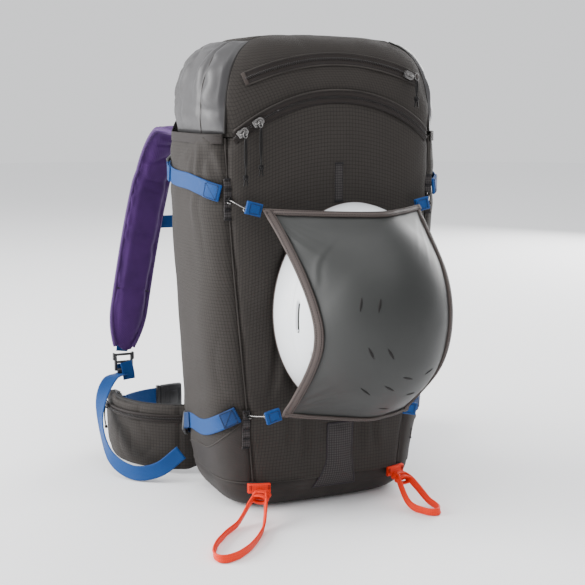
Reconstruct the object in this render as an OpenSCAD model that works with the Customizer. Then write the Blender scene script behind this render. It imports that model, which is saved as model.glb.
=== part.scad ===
// Ski backpack with a clamshell lid, helmet carrier, harness and hip belt.
// X runs across the pack, +Y towards the wearer's back, +Z up. The origin is the middle of the flat base.

/* [Bag] */
// Height of the packed bag, lid included
bag_h = 640; // [560:1:720]
// Width across the shoulders of the bag
bag_w = 332; // [300:1:360]
// Width just above the base
base_w = 292; // [260:1:310]
// Depth at the shoulders of the bag
bag_d = 214; // [190:1:240]
// Depth just above the base
base_d = 192; // [170:1:215]
// Thickness of the padded bag fabric
wall = 3; // [2:0.5:4]
// Height of the main zip at the sides
zip_side_z = 508; // [470:1:530]
// How far the main zip rises towards the middle of the front
zip_rise = 52; // [30:1:60]
// Height of the boot around the base
boot_h = 42; // [30:1:60]
// Width of each zip's tape
zip_tape_w = 15; // [12:1:20]

/* [Back] */
// Thickness of the foam back pad
back_pad_t = 12; // [8:1:18]
// Width of the back pad
back_pad_w = 210; // [180:1:230]
// Thickness of the plastic frame sheet
frame_sheet_t = 1.6; // [1:0.2:3]
// Width of each aluminium stay
stay_w = 16; // [12:1:20]
// Thickness of each aluminium stay
stay_t = 3; // [2:0.5:4]

/* [Harness] */
// Width of the shoulder strap
strap_w = 64; // [52:1:74]
// Thickness of the shoulder strap
strap_t = 10; // [7:1:14]
// Half the distance between the shoulder straps at the top
strap_x = 84; // [70:1:95]
// How far the shoulder strap stands off the back pad
strap_reach = 178; // [150:1:200]
// Width of the webbing
webbing_w = 22; // [18:1:25]
// Thickness of the webbing
webbing_t = 1.8; // [1.4:0.1:2.6]

/* [Hip belt] */
// Height of the hip belt wing
wing_h = 104; // [85:1:120]
// Thickness of the hip belt wing with its pocket
wing_t = 22; // [16:1:26]
// Radius that the wing curves round the hip
wing_r = 112; // [104:1:118]
// Angle that the wing wraps
wing_sweep = 138; // [110:1:142]

/* [Helmet carrier] */
// Height of the carried helmet
helmet_l = 284; // [260:1:296]
// Width of the carried helmet
helmet_w = 228; // [205:1:240]
// How far the helmet stands out from the bag
helmet_depth = 160; // [135:1:175]
// Height of the middle of the helmet above the base
helmet_z = 281; // [270:1:292]
// Thickness of the helmet's plastic shell
helmet_t = 3; // [2:0.5:4]
// Thickness of the carrier's stretch fabric
carrier_t = 1.6; // [1.2:0.2:2.5]

/* [Tool loops] */
// Length of the left ice axe loop along the ground
loop_l = 172; // [130:1:190]
// Length of the right ice axe loop, drawn shorter in its keeper
loop_short_l = 92; // [70:1:120]
// Width of an ice axe loop across its end
loop_w = 54; // [44:1:70]
// Width of the loop's flat cord
loop_cord_w = 11; // [8:1:13]

/* [Hidden] */
front_n = 3.8;                   // squareness of the front of the outline
back_n = 5;                      // squareness of the back of the outline
base_r = 46;                     // rounding of the base edge
dome_z = 430;                    // height where the top starts to round over
seam_low = 236;                   // angle of the front left seam at the base
seam_top = 216;                   // angle of the front left seam at the zip
back_seam = 135;                  // angle of the back left seam
dome_n = 4.5;                    // squareness of the top's rounding
back_y = bag_d/2 - 4;            // plane of the back panel
back_zip_z = zip_side_z + 32;    // height of the lid's hinge line at the back
zip_half = bag_w/2 * 0.84;       // half the width that the main zip spans
blue = [0.02, 0.38, 0.72];
dark = [0.09, 0.085, 0.085];
grey = [0.30, 0.29, 0.28];
purple = [0.30, 0.16, 0.40];
orange = [0.98, 0.30, 0.12];

// ---- small helpers ------------------------------------------------------------------------
function mix(a, b, s) = a + (b - a) * s;
function clamp(v, lo, hi) = max(lo, min(hi, v));
function smooth(s) = let (c = clamp(s, 0, 1)) c * c * (3 - 2 * c);
function power(v, e) = sign(v) * pow(abs(v), e);
function unit(v) = v / norm(v);
function steps(a, b, n) = [for (i = [0:n]) mix(a, b, i / n)];

// A closed skin between an outer and an inner grid of points, both with the same rows and columns.
module skin(outer, inner) {
  r = len(outer);
  c = len(outer[0]);
  pts = concat([for (row = outer) each row], [for (row = inner) each row]);
  k = r * c;
  function at(i, j) = i * c + j;
  polyhedron(pts, concat(
    [for (i = [0:r-2], j = [0:c-2]) each [[at(i,j), at(i,j+1), at(i+1,j)], [at(i,j+1), at(i+1,j+1), at(i+1,j)]]],
    [for (i = [0:r-2], j = [0:c-2]) each
      [[k+at(i,j), k+at(i+1,j), k+at(i,j+1)], [k+at(i,j+1), k+at(i+1,j), k+at(i+1,j+1)]]],
    [for (j = [0:c-2]) each [[at(0,j), k+at(0,j), at(0,j+1)], [at(0,j+1), k+at(0,j), k+at(0,j+1)]]],
    [for (j = [0:c-2]) each
      [[at(r-1,j), at(r-1,j+1), k+at(r-1,j)], [at(r-1,j+1), k+at(r-1,j+1), k+at(r-1,j)]]],
    [for (i = [0:r-2]) each [[at(i,0), at(i+1,0), k+at(i,0)], [at(i+1,0), k+at(i+1,0), k+at(i,0)]]],
    [for (i = [0:r-2]) each
      [[at(i,c-1), k+at(i,c-1), at(i+1,c-1)], [at(i+1,c-1), k+at(i,c-1), k+at(i+1,c-1)]]]));
}

// A tube through rings of points, closed at both ends.
module loft(rings) {
  n = len(rings);
  c = len(rings[0]);
  polyhedron([for (r = rings) each r], concat(
    [[for (j = [0:c-1]) j]],
    [for (i = [0:n-2], j = [0:c-1]) let (k = (j + 1) % c)
      each [[i*c+j, (i+1)*c+j, i*c+k], [i*c+k, (i+1)*c+j, (i+1)*c+k]]],
    [[for (j = [c-1:-1:0]) (n-1)*c + j]]));
}

// A flat band of width w and thickness t along a path. side gives the width direction at each point.
function tangent(path, i) = let (n = len(path)) unit(path[min(i+1, n-1)] - path[max(i-1, 0)]);
function band_rings(path, side, w, t) = [for (i = [0:len(path)-1])
  let (s = unit(side[i]), u = unit(cross(tangent(path, i), s)))
  [path[i] - s*w/2 - u*t/2, path[i] + s*w/2 - u*t/2, path[i] + s*w/2 + u*t/2, path[i] - s*w/2 + u*t/2]];
module band(path, side, w, t) { loft(band_rings(path, side, w, t)); }

// ---- the outline of the bag ---------------------------------------------------------------
// Shrinks the outline towards the flat base and towards the top of the lid.
function base_in(z) = z >= base_r ? 0 : base_r * (1 - sqrt(1 - pow(1 - max(z, 0) / base_r, 2))) * 0.82;
function dome(z) = z <= dome_z ? 1 : pow(max(0, 1 - pow((z - dome_z) / (bag_h - dome_z), dome_n)), 1 / dome_n);
function fill_at(z) = smooth(z / dome_z);
function half_w(z, in) = (mix(base_w, bag_w, fill_at(z)) / 2 - base_in(z)) * dome(z) - in;
function half_d(z, in) = (mix(base_d, bag_d, fill_at(z)) / 2 - base_in(z)) * dome(z) - in;
function mid_y(z) = back_y - mix(base_d, bag_d, fill_at(z)) / 2 - (z > dome_z ? 6 * (1 - dome(z)) : 0);
// A point of the outline at angle a (0 is +X, 90 the back, 270 the front) and height z, sunk by in.
function skin_pt(a, z, in = 0) = let (n = sin(a) > 0 ? back_n : front_n)
  [half_w(z, in) * power(cos(a), 2 / n), mid_y(z) + half_d(z, in) * power(sin(a), 2 / n), z];
// Height of the main zip round the outline.
function arch(x, half, rise) = let (r = (half*half + rise*rise) / (2*rise))
  abs(x) < half ? sqrt(r*r - x*x) - (r - rise) : 0;
function zip_z(a) = sin(a) < 0
  ? zip_side_z + arch(half_w(zip_side_z, 0) * power(cos(a), 2 / front_n), zip_half, zip_rise)
  : mix(zip_side_z, back_zip_z, smooth((sin(a) - 0.4) / 0.45));
function front_pt(x, z, in = 0) = let (w = half_w(z, in))
  [x, mid_y(z) - half_d(z, in) * pow(max(0, 1 - pow(abs(x / w), front_n)), 1 / front_n), z];

// A panel of the bag from the boot to the zip. a0 and a1 are its edges, each as [angle at the base, angle at the zip].
module panel_node(a0, a1) {
  cols = steps(0, 1, 10);
  rows = steps(0, 1, 14);
  function edge_angle(u, v) = mix(mix(a0[0], a0[1], v), mix(a1[0], a1[1], v), u);
  function at(u, v, in) = let (a = edge_angle(u, v)) skin_pt(a, mix(boot_h, zip_z(edge_angle(u, 1)), v), in);
  color(grey) skin([for (u = cols) [for (v = rows) at(u, v, 0)]], [for (u = cols) [for (v = rows) at(u, v, wall)]]);
}

// The boot closes the base: a cup whose wall follows the outline up from a flat floor.
module base_boot() {
  angles = steps(0, 351, 39);
  outside = [for (s = [0, 0.12, 0.3, 0.5, 0.75, 1]) [for (a = angles) skin_pt(a, boot_h * s)]];
  inside = [for (s = [1, 0.75, 0.5, 0.3]) [for (a = angles) skin_pt(a, boot_h * s, wall)]];
  color(grey) loft(concat(outside, inside, [[for (a = angles) skin_pt(a, wall, wall)]]));
}

// ---- the lid: one skin over the top with a gusset let in at each side ------------------------
lid_cols = 40;   // columns round the lid
lid_rows = 9;    // rows from the zip to the top
gusset_rows = 6; // rows that a gusset takes
lid_lift = 2;  // clearance between the lid's edge and the bag's edge
function lid_phi0(a) = asin(pow((zip_z(a) + lid_lift - dome_z) / (bag_h - dome_z), dome_n / 2));
function lid_z(phi) = dome_z + (bag_h - dome_z) * pow(sin(phi), 2 / dome_n);
function lid_pt(a, s, in) = let (z = lid_z(mix(lid_phi0(a), 87, s)))
  skin_pt(a, z, in) - [0, 0, in * smooth(s)];
function lid_grid(in) = [for (c = [0:lid_cols-1]) [for (r = [0:lid_rows]) lid_pt(c * 360 / lid_cols, r / lid_rows, in)]];
function in_gusset(c, r) = r < gusset_rows && ((c >= 15 && c < 24) || c >= 36 || c < 5);

// The cells of the lid that keep(c, r) is true for, with walls where the next cell isn't kept.
module lid_cells(kept) {
  o = lid_grid(0);
  i = lid_grid(wall);
  n = lid_rows + 1;
  k = lid_cols * n;
  function at(c, r) = (c % lid_cols) * n + r;
  function has(c, r) = r >= 0 && r < lid_rows && kept[(c + lid_cols) % lid_cols][r];
  cap = kept[10][lid_rows-1];
  cells = [for (c = [0:lid_cols-1], r = [0:lid_rows-1]) if (has(c, r)) [c, r]];
  function quad(a, b, c, d) = [[a, b, c], [a, c, d]];
  polyhedron(concat([for (col = o) each col], [for (col = i) each col]), concat(
    [for (q = cells) each quad(at(q[0],q[1]), at(q[0],q[1]+1), at(q[0]+1,q[1]+1), at(q[0]+1,q[1]))],
    [for (q = cells) each quad(k+at(q[0],q[1]), k+at(q[0]+1,q[1]), k+at(q[0]+1,q[1]+1), k+at(q[0],q[1]+1))],
    [for (q = cells) if (!has(q[0]-1, q[1])) each
      quad(at(q[0],q[1]), k+at(q[0],q[1]), k+at(q[0],q[1]+1), at(q[0],q[1]+1))],
    [for (q = cells) if (!has(q[0]+1, q[1])) each
      quad(at(q[0]+1,q[1]+1), k+at(q[0]+1,q[1]+1), k+at(q[0]+1,q[1]), at(q[0]+1,q[1]))],
    [for (q = cells) if (!has(q[0], q[1]-1)) each
      quad(at(q[0]+1,q[1]), k+at(q[0]+1,q[1]), k+at(q[0],q[1]), at(q[0],q[1]))],
    [for (q = cells) if (q[1] < lid_rows-1 && !has(q[0], q[1]+1)) each
      quad(at(q[0],q[1]+1), k+at(q[0],q[1]+1), k+at(q[0]+1,q[1]+1), at(q[0]+1,q[1]+1))],
    cap ? [[for (c = [lid_cols-1:-1:0]) at(c, lid_rows)], [for (c = [0:lid_cols-1]) k + at(c, lid_rows)]] : []));
}
module lid_shell() {
  color(grey) lid_cells([for (c = [0:lid_cols-1]) [for (r = [0:lid_rows-1]) !in_gusset(c, r)]]);
}
module lid_gusset(left) {
  color([0.36, 0.36, 0.37]) lid_cells([for (c = [0:lid_cols-1]) [for (r = [0:lid_rows-1])
    in_gusset(c, r) && (left == (c >= 15 && c < 24))]]);
}

// ---- zips ----------------------------------------------------------------------------------
tape_t = 1.2;    // thickness of a zip tape
// A strip on the bag's front that follows a height curve z0 + arch, from x0 to x1.
module front_tape(x0, x1, z0, half, rise, w, lift) {
  xs = steps(x0, x1, 24);
  function z_at(x) = z0 + arch(x, half, rise);
  outer = [for (x = xs) [for (d = [0, w]) front_pt(x, z_at(x) + d, -tape_t - lift)]];
  inner = [for (x = xs) [for (d = [0, w]) front_pt(x, z_at(x) + d, -lift)]];
  skin(outer, inner);
}
module main_zip_tape() {
  color(dark) front_tape(-zip_half, zip_half, zip_side_z - zip_tape_w/2 - 1, zip_half, zip_rise, zip_tape_w/2, 0.1);
}
pocket_half = bag_w/2 * 0.74;  // half the width that the lid pocket's zip spans
pocket_z = bag_h - 58;         // height of the lid pocket's zip at its ends
pocket_rise = 26;              // rise of the lid pocket's zip in the middle
module lid_zip_tape() {
  color(dark) front_tape(-pocket_half, pocket_half, pocket_z - zip_tape_w/2, pocket_half, pocket_rise, zip_tape_w, 0.9);
}
slider_l = 15;   // length of a zip slider
slider_w = 10;   // width of a zip slider
slider_t = 4;    // thickness of a zip slider
slider_off = 5.6; // how far a main zip slider's middle stands off the skin
lid_slider_off = 7.4; // the same for the lid pocket's slider
pull_l = 62;     // length of a cord pull
pull_r = 1.6;    // radius of a cord pull
// Where a slider sits on a zip, and the slope of the zip there.
function zip_at(x, z0, half, rise, off) = front_pt(x, z0 + arch(x, half, rise), -off);
module slider_at(x, z0, half, rise, off) {
  p = zip_at(x, z0, half, rise, off);
  q = zip_at(x + 4, z0, half, rise, off);
  o = zip_at(x, z0, half, rise, off + 5);
  u = unit(q - p);
  side = unit(cross(o - p, u));
  color([0.5, 0.5, 0.5]) loft([for (s = [-1, -0.6, 0.6, 1])
    let (k = abs(s) > 0.9 ? 0.7 : 1, m = unit(cross(u, side)))
    [p + u*s*slider_l/2 - side*slider_w/2*k - m*slider_t/2*k, p + u*s*slider_l/2 + side*slider_w/2*k - m*slider_t/2*k,
     p + u*s*slider_l/2 + side*slider_w/2*k + m*slider_t/2*k, p + u*s*slider_l/2 - side*slider_w/2*k + m*slider_t/2*k]]);
}
// A doubled cord that hangs from a slider, with a knot at its end.
module pull_at(x, z0, half, rise, off, length) {
  top = zip_at(x, z0, half, rise, off) + [0, 0, -2];
  color(dark) {
    translate(top - [0, 0, length - 5]) cylinder(r = pull_r, h = length - 5, $fn = 20);
    translate(top - [0, 0, length]) sphere(r = pull_r * 2.4, $fn = 24);
  }
}
slider_a_x = -zip_half + 28;
slider_b_x = -zip_half + 9;
slider_p_x = pocket_half - 16;
module main_zip_slider_a() { slider_at(slider_a_x, zip_side_z, zip_half, zip_rise, slider_off); }
module main_zip_slider_b() { slider_at(slider_b_x, zip_side_z, zip_half, zip_rise, slider_off); }
module lid_zip_slider() { slider_at(slider_p_x, pocket_z, pocket_half, pocket_rise, lid_slider_off); }
module main_zip_pull_a() { pull_at(slider_a_x, zip_side_z, zip_half, zip_rise, slider_off + 7, pull_l); }
module main_zip_pull_b() { pull_at(slider_b_x, zip_side_z, zip_half, zip_rise, slider_off + 7, pull_l); }
module lid_zip_pull() { pull_at(slider_p_x, pocket_z, pocket_half, pocket_rise, lid_slider_off + 20, 36); }

// ---- back and frame --------------------------------------------------------------------------
in_y = back_y - wall;             // inner face of the back panel at its middle
frame_z0 = boot_h + 14;           // foot of the frame sheet
frame_h = zip_side_z - frame_z0 - 20;
stay_x = 58;                      // stays stand this far from the middle
sleeve_back = 26;                 // depth kept behind the sleeve for its bladder
sleeve_t = 2;                     // thickness of the hydration sleeve
pad_y = back_y + 0.3;             // front face of the back pad
pad_z0 = 128;                     // foot of the back pad
pad_h = zip_side_z - pad_z0 - 12;
module rounded_slab(w, h, t, r) {
  rotate([90, 0, 0]) translate([0, 0, -t]) linear_extrude(t) translate([-w/2, 0])
    hull() for (x = [r, w - r], y = [r, h - r]) translate([x, y]) circle(r = r, $fn = 32);
}
module frame_sheet() {
  color([0.85, 0.85, 0.82]) translate([0, in_y - 6 - frame_sheet_t, frame_z0]) rounded_slab(back_pad_w, frame_h, frame_sheet_t, 24);
}
module frame_stays() {
  color([0.75, 0.76, 0.78]) for (s = [-1, 1])
    translate([s*stay_x - stay_w/2, in_y - 6 - frame_sheet_t - 0.3 - stay_t, frame_z0 + 12]) cube([stay_w, stay_t, frame_h - 24]);
}
module hydration_sleeve() {
  color(dark) translate([0, in_y - sleeve_back, frame_z0 + 30]) rounded_slab(back_pad_w - 12, frame_h * 0.8, sleeve_t, 16);
}
module back_pad() {
  color(dark) translate([0, pad_y, pad_z0]) difference() {
    rounded_slab(back_pad_w, pad_h, back_pad_t, 30);
    for (z = [0.3, 0.62]) translate([-back_pad_w, back_pad_t - 4, pad_h*z]) cube([back_pad_w*2, 5, 14]);
    translate([-12, back_pad_t - 4, -1]) cube([24, 5, pad_h + 2]);
  }
}
lumbar_w = 156;                   // width of the lumbar pad
module lumbar_pad() {
  color(dark) translate([0, pad_y, pad_z0 - 6 - 98]) rounded_slab(lumbar_w, 98, back_pad_t + 12, 26);
}

// ---- shoulder harness ------------------------------------------------------------------------
strap_top_z = zip_side_z + 4;     // crest of the shoulder strap
strap_root_z = zip_side_z - 22;   // where the strap is sewn under the lid's hinge
strap_end_z = 158;                // lower end of the padded strap
strap_out = 104;                  // how far the strap splays out from its root to its end
strap_y0 = back_y + back_pad_t + strap_t/2 + 2.5;
// The middle line of the left strap: up and over from its root, then down and out.
function strap_line(s) = let (down = clamp((s - 0.2) / 0.8, 0, 1))
  [-strap_x - strap_out * pow(s, 0.8),
   strap_y0 + strap_reach * sin(90 * clamp(s / 0.42, 0, 1)) - 10 * down,
   mix(strap_root_z + (strap_top_z - strap_root_z) * sin(180 * clamp(s / 0.36, 0, 1)), strap_end_z, pow(down, 1.25))];
function strap_half(s) = s > 0.86 ? mix(strap_w/2, webbing_w/2 + 3, pow((s - 0.86) / 0.14, 2)) : strap_w/2 * mix(0.86, 1, smooth(s / 0.15));
strap_s = steps(0, 1, 26);
strap_path = [for (s = strap_s) strap_line(s)];
function strap_side(i) = let (t = tangent(strap_path, i)) unit([1, 0.16, 0] - t * (([1, 0.16, 0]) * t));
module shoulder_strap() {
  rings = [for (i = [0:len(strap_path)-1]) let (
      p = strap_path[i], s = strap_side(i), u = unit(cross(tangent(strap_path, i), s)), w = strap_half(strap_s[i]), t = strap_t/2)
    [for (q = [[-1,-0.35], [-0.86,-1], [0.86,-1], [1,-0.35], [1,0.35], [0.86,1], [-0.86,1], [-1,0.35]]) p + s*w*q[0] + u*t*q[1]]];
  color(purple) loft(rings);
}
adjuster_t = 6;                   // thickness of the strap adjuster
module strap_adjuster() {
  end = strap_path[len(strap_path)-1];
  color(dark) translate([end[0] - webbing_w/2 - 4, end[1] - adjuster_t/2, end[2] - 30]) difference() {
    cube([webbing_w + 8, adjuster_t, 28]);
    for (z = [4, 15]) translate([4, -1, z]) cube([webbing_w, adjuster_t + 2, 7]);
  }
}
sternum_z = 352;                  // height of the sternum strap
sternum_s = lookup(sternum_z, [for (i = [len(strap_s)-1:-1:8]) [strap_path[i][2], strap_s[i]]]);
sternum_p = strap_line(sternum_s);
sternum_y = sternum_p[1] + strap_t/2 + 8;
sternum_half = -sternum_p[0] + 8; // half the sternum strap's width
module sternum_strap() {
  color(blue) translate([-sternum_half, sternum_y, sternum_z]) cube([2*sternum_half, webbing_t, 20]);
  color(dark) for (s = [-1, 1]) translate([s*(sternum_half - 8) - 10, sternum_y + webbing_t + 0.1, sternum_z - 3]) cube([20, 3, 26]);
}
module sternum_buckle() {
  color(dark) translate([-24, sternum_y + webbing_t + 0.3, sternum_z - 3]) {
    cube([30, 8, 26]);
    translate([30.3, 1.5, 3]) cube([18, 5, 20]);
  }
}
// Lower webbing of the left shoulder strap, from the adjuster to the pack's bottom corner.
anchor_gap = 5;
strap_end = strap_path[len(strap_path)-1];
anchor_path = [
  [strap_end[0], strap_end[1], strap_end[2] - 30 - anchor_gap],
  [-216, 268, 121], [-237, 242, 98], [-248, 205, 62], [-246, 158, 28], [-224, 118, 13], [-192, 94, 20], [-160, 82, 46]];
module anchor_webbing() {
  n = len(anchor_path);
  sides = [for (i = [0:n-1]) let (k = i/(n-1)) [mix(0.75, 0, smooth(k*2)), mix(-0.1, 0.12, k), mix(0, 1, smooth(k * 1.6))]];
  color(blue) band(anchor_path, sides, webbing_w, webbing_t);
}

// ---- hip belt --------------------------------------------------------------------------------
wing_c = [-104, back_y + 18 + wing_r];   // centre of the left wing's curve
wing_z = 4;                              // clearance under the wing
function wing_pt(a, r) = [wing_c[0] + r*cos(a), wing_c[1] + r*sin(a)];
module arc_wall(a0, a1, r0, r1, z0, z1, n) {
  as = steps(a0, a1, n);
  translate([0, 0, z0]) linear_extrude(z1 - z0)
    polygon(concat([for (a = as) wing_pt(a, r0)], [for (i = [n:-1:0]) wing_pt(as[i], r1)]));
}
// The padded left wing, taller at its root and rounded at its tip.
module hip_wing() {
  as = steps(270, 270 - wing_sweep, 22);
  rings = [for (i = [0:22]) let (s = i/22, a = as[i],
      h = wing_h/2 * (s < 0.12 ? mix(0.8, 1, s/0.12) : s < 0.7 ? 1 : mix(1, 0.42, pow((s-0.7)/0.3, 1.6))),
      zc = wing_z + wing_h/2 + (s > 0.7 ? 6*(s-0.7)/0.3 : 0), t = wing_t/2 * (s > 0.85 ? mix(1, 0.6, (s-0.85)/0.15) : 1))
    [for (q = [[-1,-0.6], [-0.5,-1], [0.5,-1], [1,-0.6], [1,0.6], [0.5,1], [-0.5,1], [-1,0.6]])
      let (p = wing_pt(a, wing_r + t*q[0])) [p[0], p[1], zc + h*q[1]]]];
  color(grey) loft(rings);
}
belt_z = wing_z + wing_h/2 + 6;
belt_w = 36;                    // width of the hip belt's webbing
tip = 270 - wing_sweep;         // angle where the wing ends
module hip_webbing() { color(blue) arc_wall(tip - 0.6, tip - 34, wing_r - 1.2, wing_r + 1.2, belt_z - belt_w/2, belt_z + belt_w/2, 10); }
buckle_p = wing_pt(tip - 34, wing_r);
buckle_turn = tip - 34 - 90;
module hip_buckle_body(male) {
  color(dark) translate([buckle_p[0], buckle_p[1], belt_z]) rotate([0, 0, buckle_turn]) {
    translate([0.5, -5, -22]) difference() {
      cube([male ? 26 : 46, 10, 44]);
      if (!male) translate([18, 2, 4]) cube([40, 6, 36]);
    }
    if (male) for (z = [-15, 0, 15]) translate([26, -2, z - 3]) cube([24, 4, 6]);
  }
}

// ---- helmet and carrier ----------------------------------------------------------------------
helmet_x = 20;
helmet_y = -bag_d/2 - 6;          // plane of the helmet's rim
liner_t = 14;
module dome_solid(w, l, d) {
  translate([helmet_x, helmet_y, helmet_z]) rotate([90, 0, 0]) intersection() {
    resize([w, l, 2*d]) sphere(r = 100, $fn = 56);
    translate([0, 0, 500]) cube(1000, center = true);
  }
}
module helmet_shell() {
  color([0.92, 0.93, 0.94]) difference() {
    dome_solid(helmet_w, helmet_l, helmet_depth);
    translate([0, 1, 0]) dome_solid(helmet_w - 2*helmet_t, helmet_l - 2*helmet_t, helmet_depth - helmet_t + 1);
  }
}
module helmet_liner() {
  c = helmet_t + 0.4;
  color(dark) difference() {
    dome_solid(helmet_w - 2*c, helmet_l - 2*c, helmet_depth - c);
    translate([0, 1, 0]) dome_solid(helmet_w - 2*(c + liner_t), helmet_l - 2*(c + liner_t), helmet_depth - c - liner_t + 1);
  }
}
// Carrier corners as [x, z]: lower left, lower right, upper right, upper left.
corner = [[-86, 144], [98, 134], [112, 417], [-112, 419]];
sheet_gap = 2.5;                   // the stretched sheet stands off the helmet by this much
edge_in = 20;                      // how far the sheet's left side draws in
edge_in_right = 4;                 // how far its right side draws in
function helmet_rise(x, z) = let (
    q = 1 - pow((x - helmet_x)/(helmet_w/2 + sheet_gap), 2) - pow((z - helmet_z)/(helmet_l/2 + sheet_gap), 2))
  q > 0 ? (helmet_depth + sheet_gap) * sqrt(q) : 0;
// Height at (x, z) of a straight line from corner c to the helmet.
function tent(x, z, c) = let (d = [x - c[0], z - c[1]], l = norm(d))
  l < 1 ? 0 : max(concat([0], [for (k = [1:0.05:8]) if (k*l < 260) helmet_rise(c[0] + d[0]*k, c[1] + d[1]*k) / k]));
function sheet_rise(x, z) = max(concat([helmet_rise(x, z)], [for (c = corner) tent(x, z, c)]));
sheet_y0 = helmet_y - 4;
function sheet_xz(u, v) = let (
    l = mix(corner[0], corner[3], v), r = mix(corner[1], corner[2], v), in = edge_in * sin(180*v), in_r = edge_in_right * sin(180*v),
    p = mix(l + [in, 0], r - [in_r, 0], u))
  [p[0], p[1] + (v > 0.5 ? -1 : 1) * 2 * sin(180*u) * abs(2*v - 1)];
module carrier_panel() {
  us = steps(0, 1, 20);
  function at(u, v, t) = let (p = sheet_xz(u, v)) [p[0], sheet_y0 - sheet_rise(p[0], p[1]) - t, p[1]];
  color([0.25, 0.27, 0.27]) skin([for (u = us) [for (v = us) at(u, v, 0)]], [for (u = us) [for (v = us) at(u, v, carrier_t)]]);
}
tab = 18;                          // side of a corner tab
hook_r = 1.8;                      // radius of a hook's rod
function corner_side(k) = corner[k][0] < 0 ? -1 : 1;
// The end of the hook at corner k, on its daisy strip.
function hook_end(k) = let (x = corner[k][0] + corner_side(k)*(tab + 17), z = corner[k][1] + [-5, -12, 11, 11][k])
  front_pt(x, z, -4.4);
module corner_tab(k) {
  color(blue) translate([corner[k][0] + corner_side(k)*(tab/2 + 0.6), sheet_y0 - 2, corner[k][1]]) cube([tab, 5, tab], center = true);
}
module rod(a, b, r) {
  d = b - a;
  translate(a) rotate([0, acos(d[2]/norm(d)), atan2(d[1], d[0])]) cylinder(r = r, h = norm(d), $fn = 20);
}
module corner_hook(k) {
  start = [corner[k][0] + corner_side(k)*(tab + 3), sheet_y0 - 1, corner[k][1]];
  color(dark) {
    rod(start, hook_end(k), hook_r);
    translate(hook_end(k)) sphere(r = hook_r*1.6, $fn = 24);
  }
}
module carrier_corner_tabs() { for (k = [2, 3]) corner_tab(k); }
module carrier_upper_hooks() { for (k = [2, 3]) corner_hook(k); }
module carrier_lower_hooks() { for (k = [0, 1]) { corner_tab(k); corner_hook(k); } }

// ---- webbing and loops on the bag --------------------------------------------------------------
// Points on the skin at angle a and height z, standing off it.
strip_off = 3;
module side_strap(a0, z0, a1, z1) {
  path = [for (s = steps(0, 1, 8)) skin_pt(mix(a0, a1, s), mix(z0, z1, s), -strip_off)];
  color(blue) band(path, [for (p = path) [0, -(z1 - z0)/200, 1]], webbing_w, webbing_t);
}
module on_left(left) { if (left) children(); else mirror([1, 0, 0]) children(); }
upper_z = [438, 462];              // heights of the upper compression strap's front and back ends
lower_z = [140, 92];               // heights of the lower compression strap's front and back ends
module compression_upper(left) { on_left(left) side_strap(212, upper_z[0], 152, upper_z[1]); }
module compression_lower(left) { on_left(left) side_strap(222, lower_z[0], 158, lower_z[1]); }
module compression_buckles() {
  for (left = [true, false], e = [[148, upper_z[1] + 1], [154, lower_z[1] - 2]]) on_left(left)
    color(dark) translate(skin_pt(e[0], e[1], -5.5) + [0, 8, 0]) rotate([0, 0, 8]) translate([-3, -8, -16]) difference() {
      cube([6, 18, 32]);
      for (y = [3, 10]) translate([-1, y, 4]) cube([8, 4, 24]);
    }
}
module axe_shaft_sleeve() {
  color(dark) skin([for (x = [-6, 6]) [for (z = steps(424, 476, 4)) front_pt(x, z, -0.3)]],
    [for (x = [-6, 6]) [for (z = steps(424, 476, 4)) front_pt(x, z, -2.3)]]);
}
module pick_pocket() {
  zs = steps(boot_h - 14, 118, 10);
  function edge(z) = [-6 - 22*pow(clamp((70 - z)/45, 0, 1), 1.6), 32 + 6*clamp((70 - z)/45, 0, 1)];
  color(dark) skin([for (u = steps(0, 1, 6)) [for (z = zs) front_pt(mix(edge(z)[0], edge(z)[1], u), z, -2.3)]],
    [for (u = steps(0, 1, 6)) [for (z = zs) front_pt(mix(edge(z)[0], edge(z)[1], u), z, -0.3)]]);
}
// Daisy strips that the carrier's hooks clip on to.
daisy_l = 52;                      // length of a daisy strip
daisy_w = 10;                      // width of a daisy strip
module hook_daisies() {
  color(dark) for (k = [0:3]) let (e = hook_end(k), z0 = e[2] - (k < 2 ? daisy_l - 6 : daisy_l/2), zs = steps(z0, z0 + daisy_l, 4))
    skin([for (u = [-1:0.5:1]) [for (z = zs) front_pt(e[0] + u*daisy_w/2, z, -1.8)]],
      [for (u = [-1:0.5:1]) [for (z = zs) front_pt(e[0] + u*daisy_w/2, z, -0.8)]]);
}
keeper_x = 104;                    // ice axe loops hang this far from the middle
keeper_z = 36;
keeper_p = front_pt(keeper_x, keeper_z, -6.5);
module axe_loop_keepers() {
  color(orange) for (s = [-1, 1]) translate([s*keeper_x, keeper_p[1] - 1, keeper_z]) cube([30, 5, 14], center = true);
}
// A loop: down from its keeper to the ground and out along direction dir.
module axe_loop(side_x, dir, length, width) {
  across = [-dir[1], dir[0], 0];
  start = [side_x*keeper_x, keeper_p[1] - 10, 0];
  path = [for (i = [0:28]) let (s = i/28, along = length * (0.5 - 0.5*cos(360*s)), bow = sin(180*s),
      out = -width/2 * sin(360*s) * (0.25 + 0.75*bow) + (s < 0.5 ? -3 : 3)*(1 - bow))
    start + dir*along + across*out + [0, 0, mix(keeper_z - 4, loop_cord_w*0.47, smooth(along/60))]];
  color(orange) band(path, [for (p = path) [0, 0, 1]], loop_cord_w*0.9, 2.2);
}
left_dir = unit([-0.62, -0.78, 0]);  // where the left loop points along the ground
right_dir = unit([0.1, -1, 0]);      // where the right loop points along the ground
module haul_loop() {
  path = [for (t = steps(0, 180, 14)) [38*cos(t), back_y + 6 + 6*sin(t), strap_root_z + 14 + 30*sin(t)]];
  color(blue) band(path, [for (p = path) [0, 1, 0.2]], 14, 2.4);
}

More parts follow.
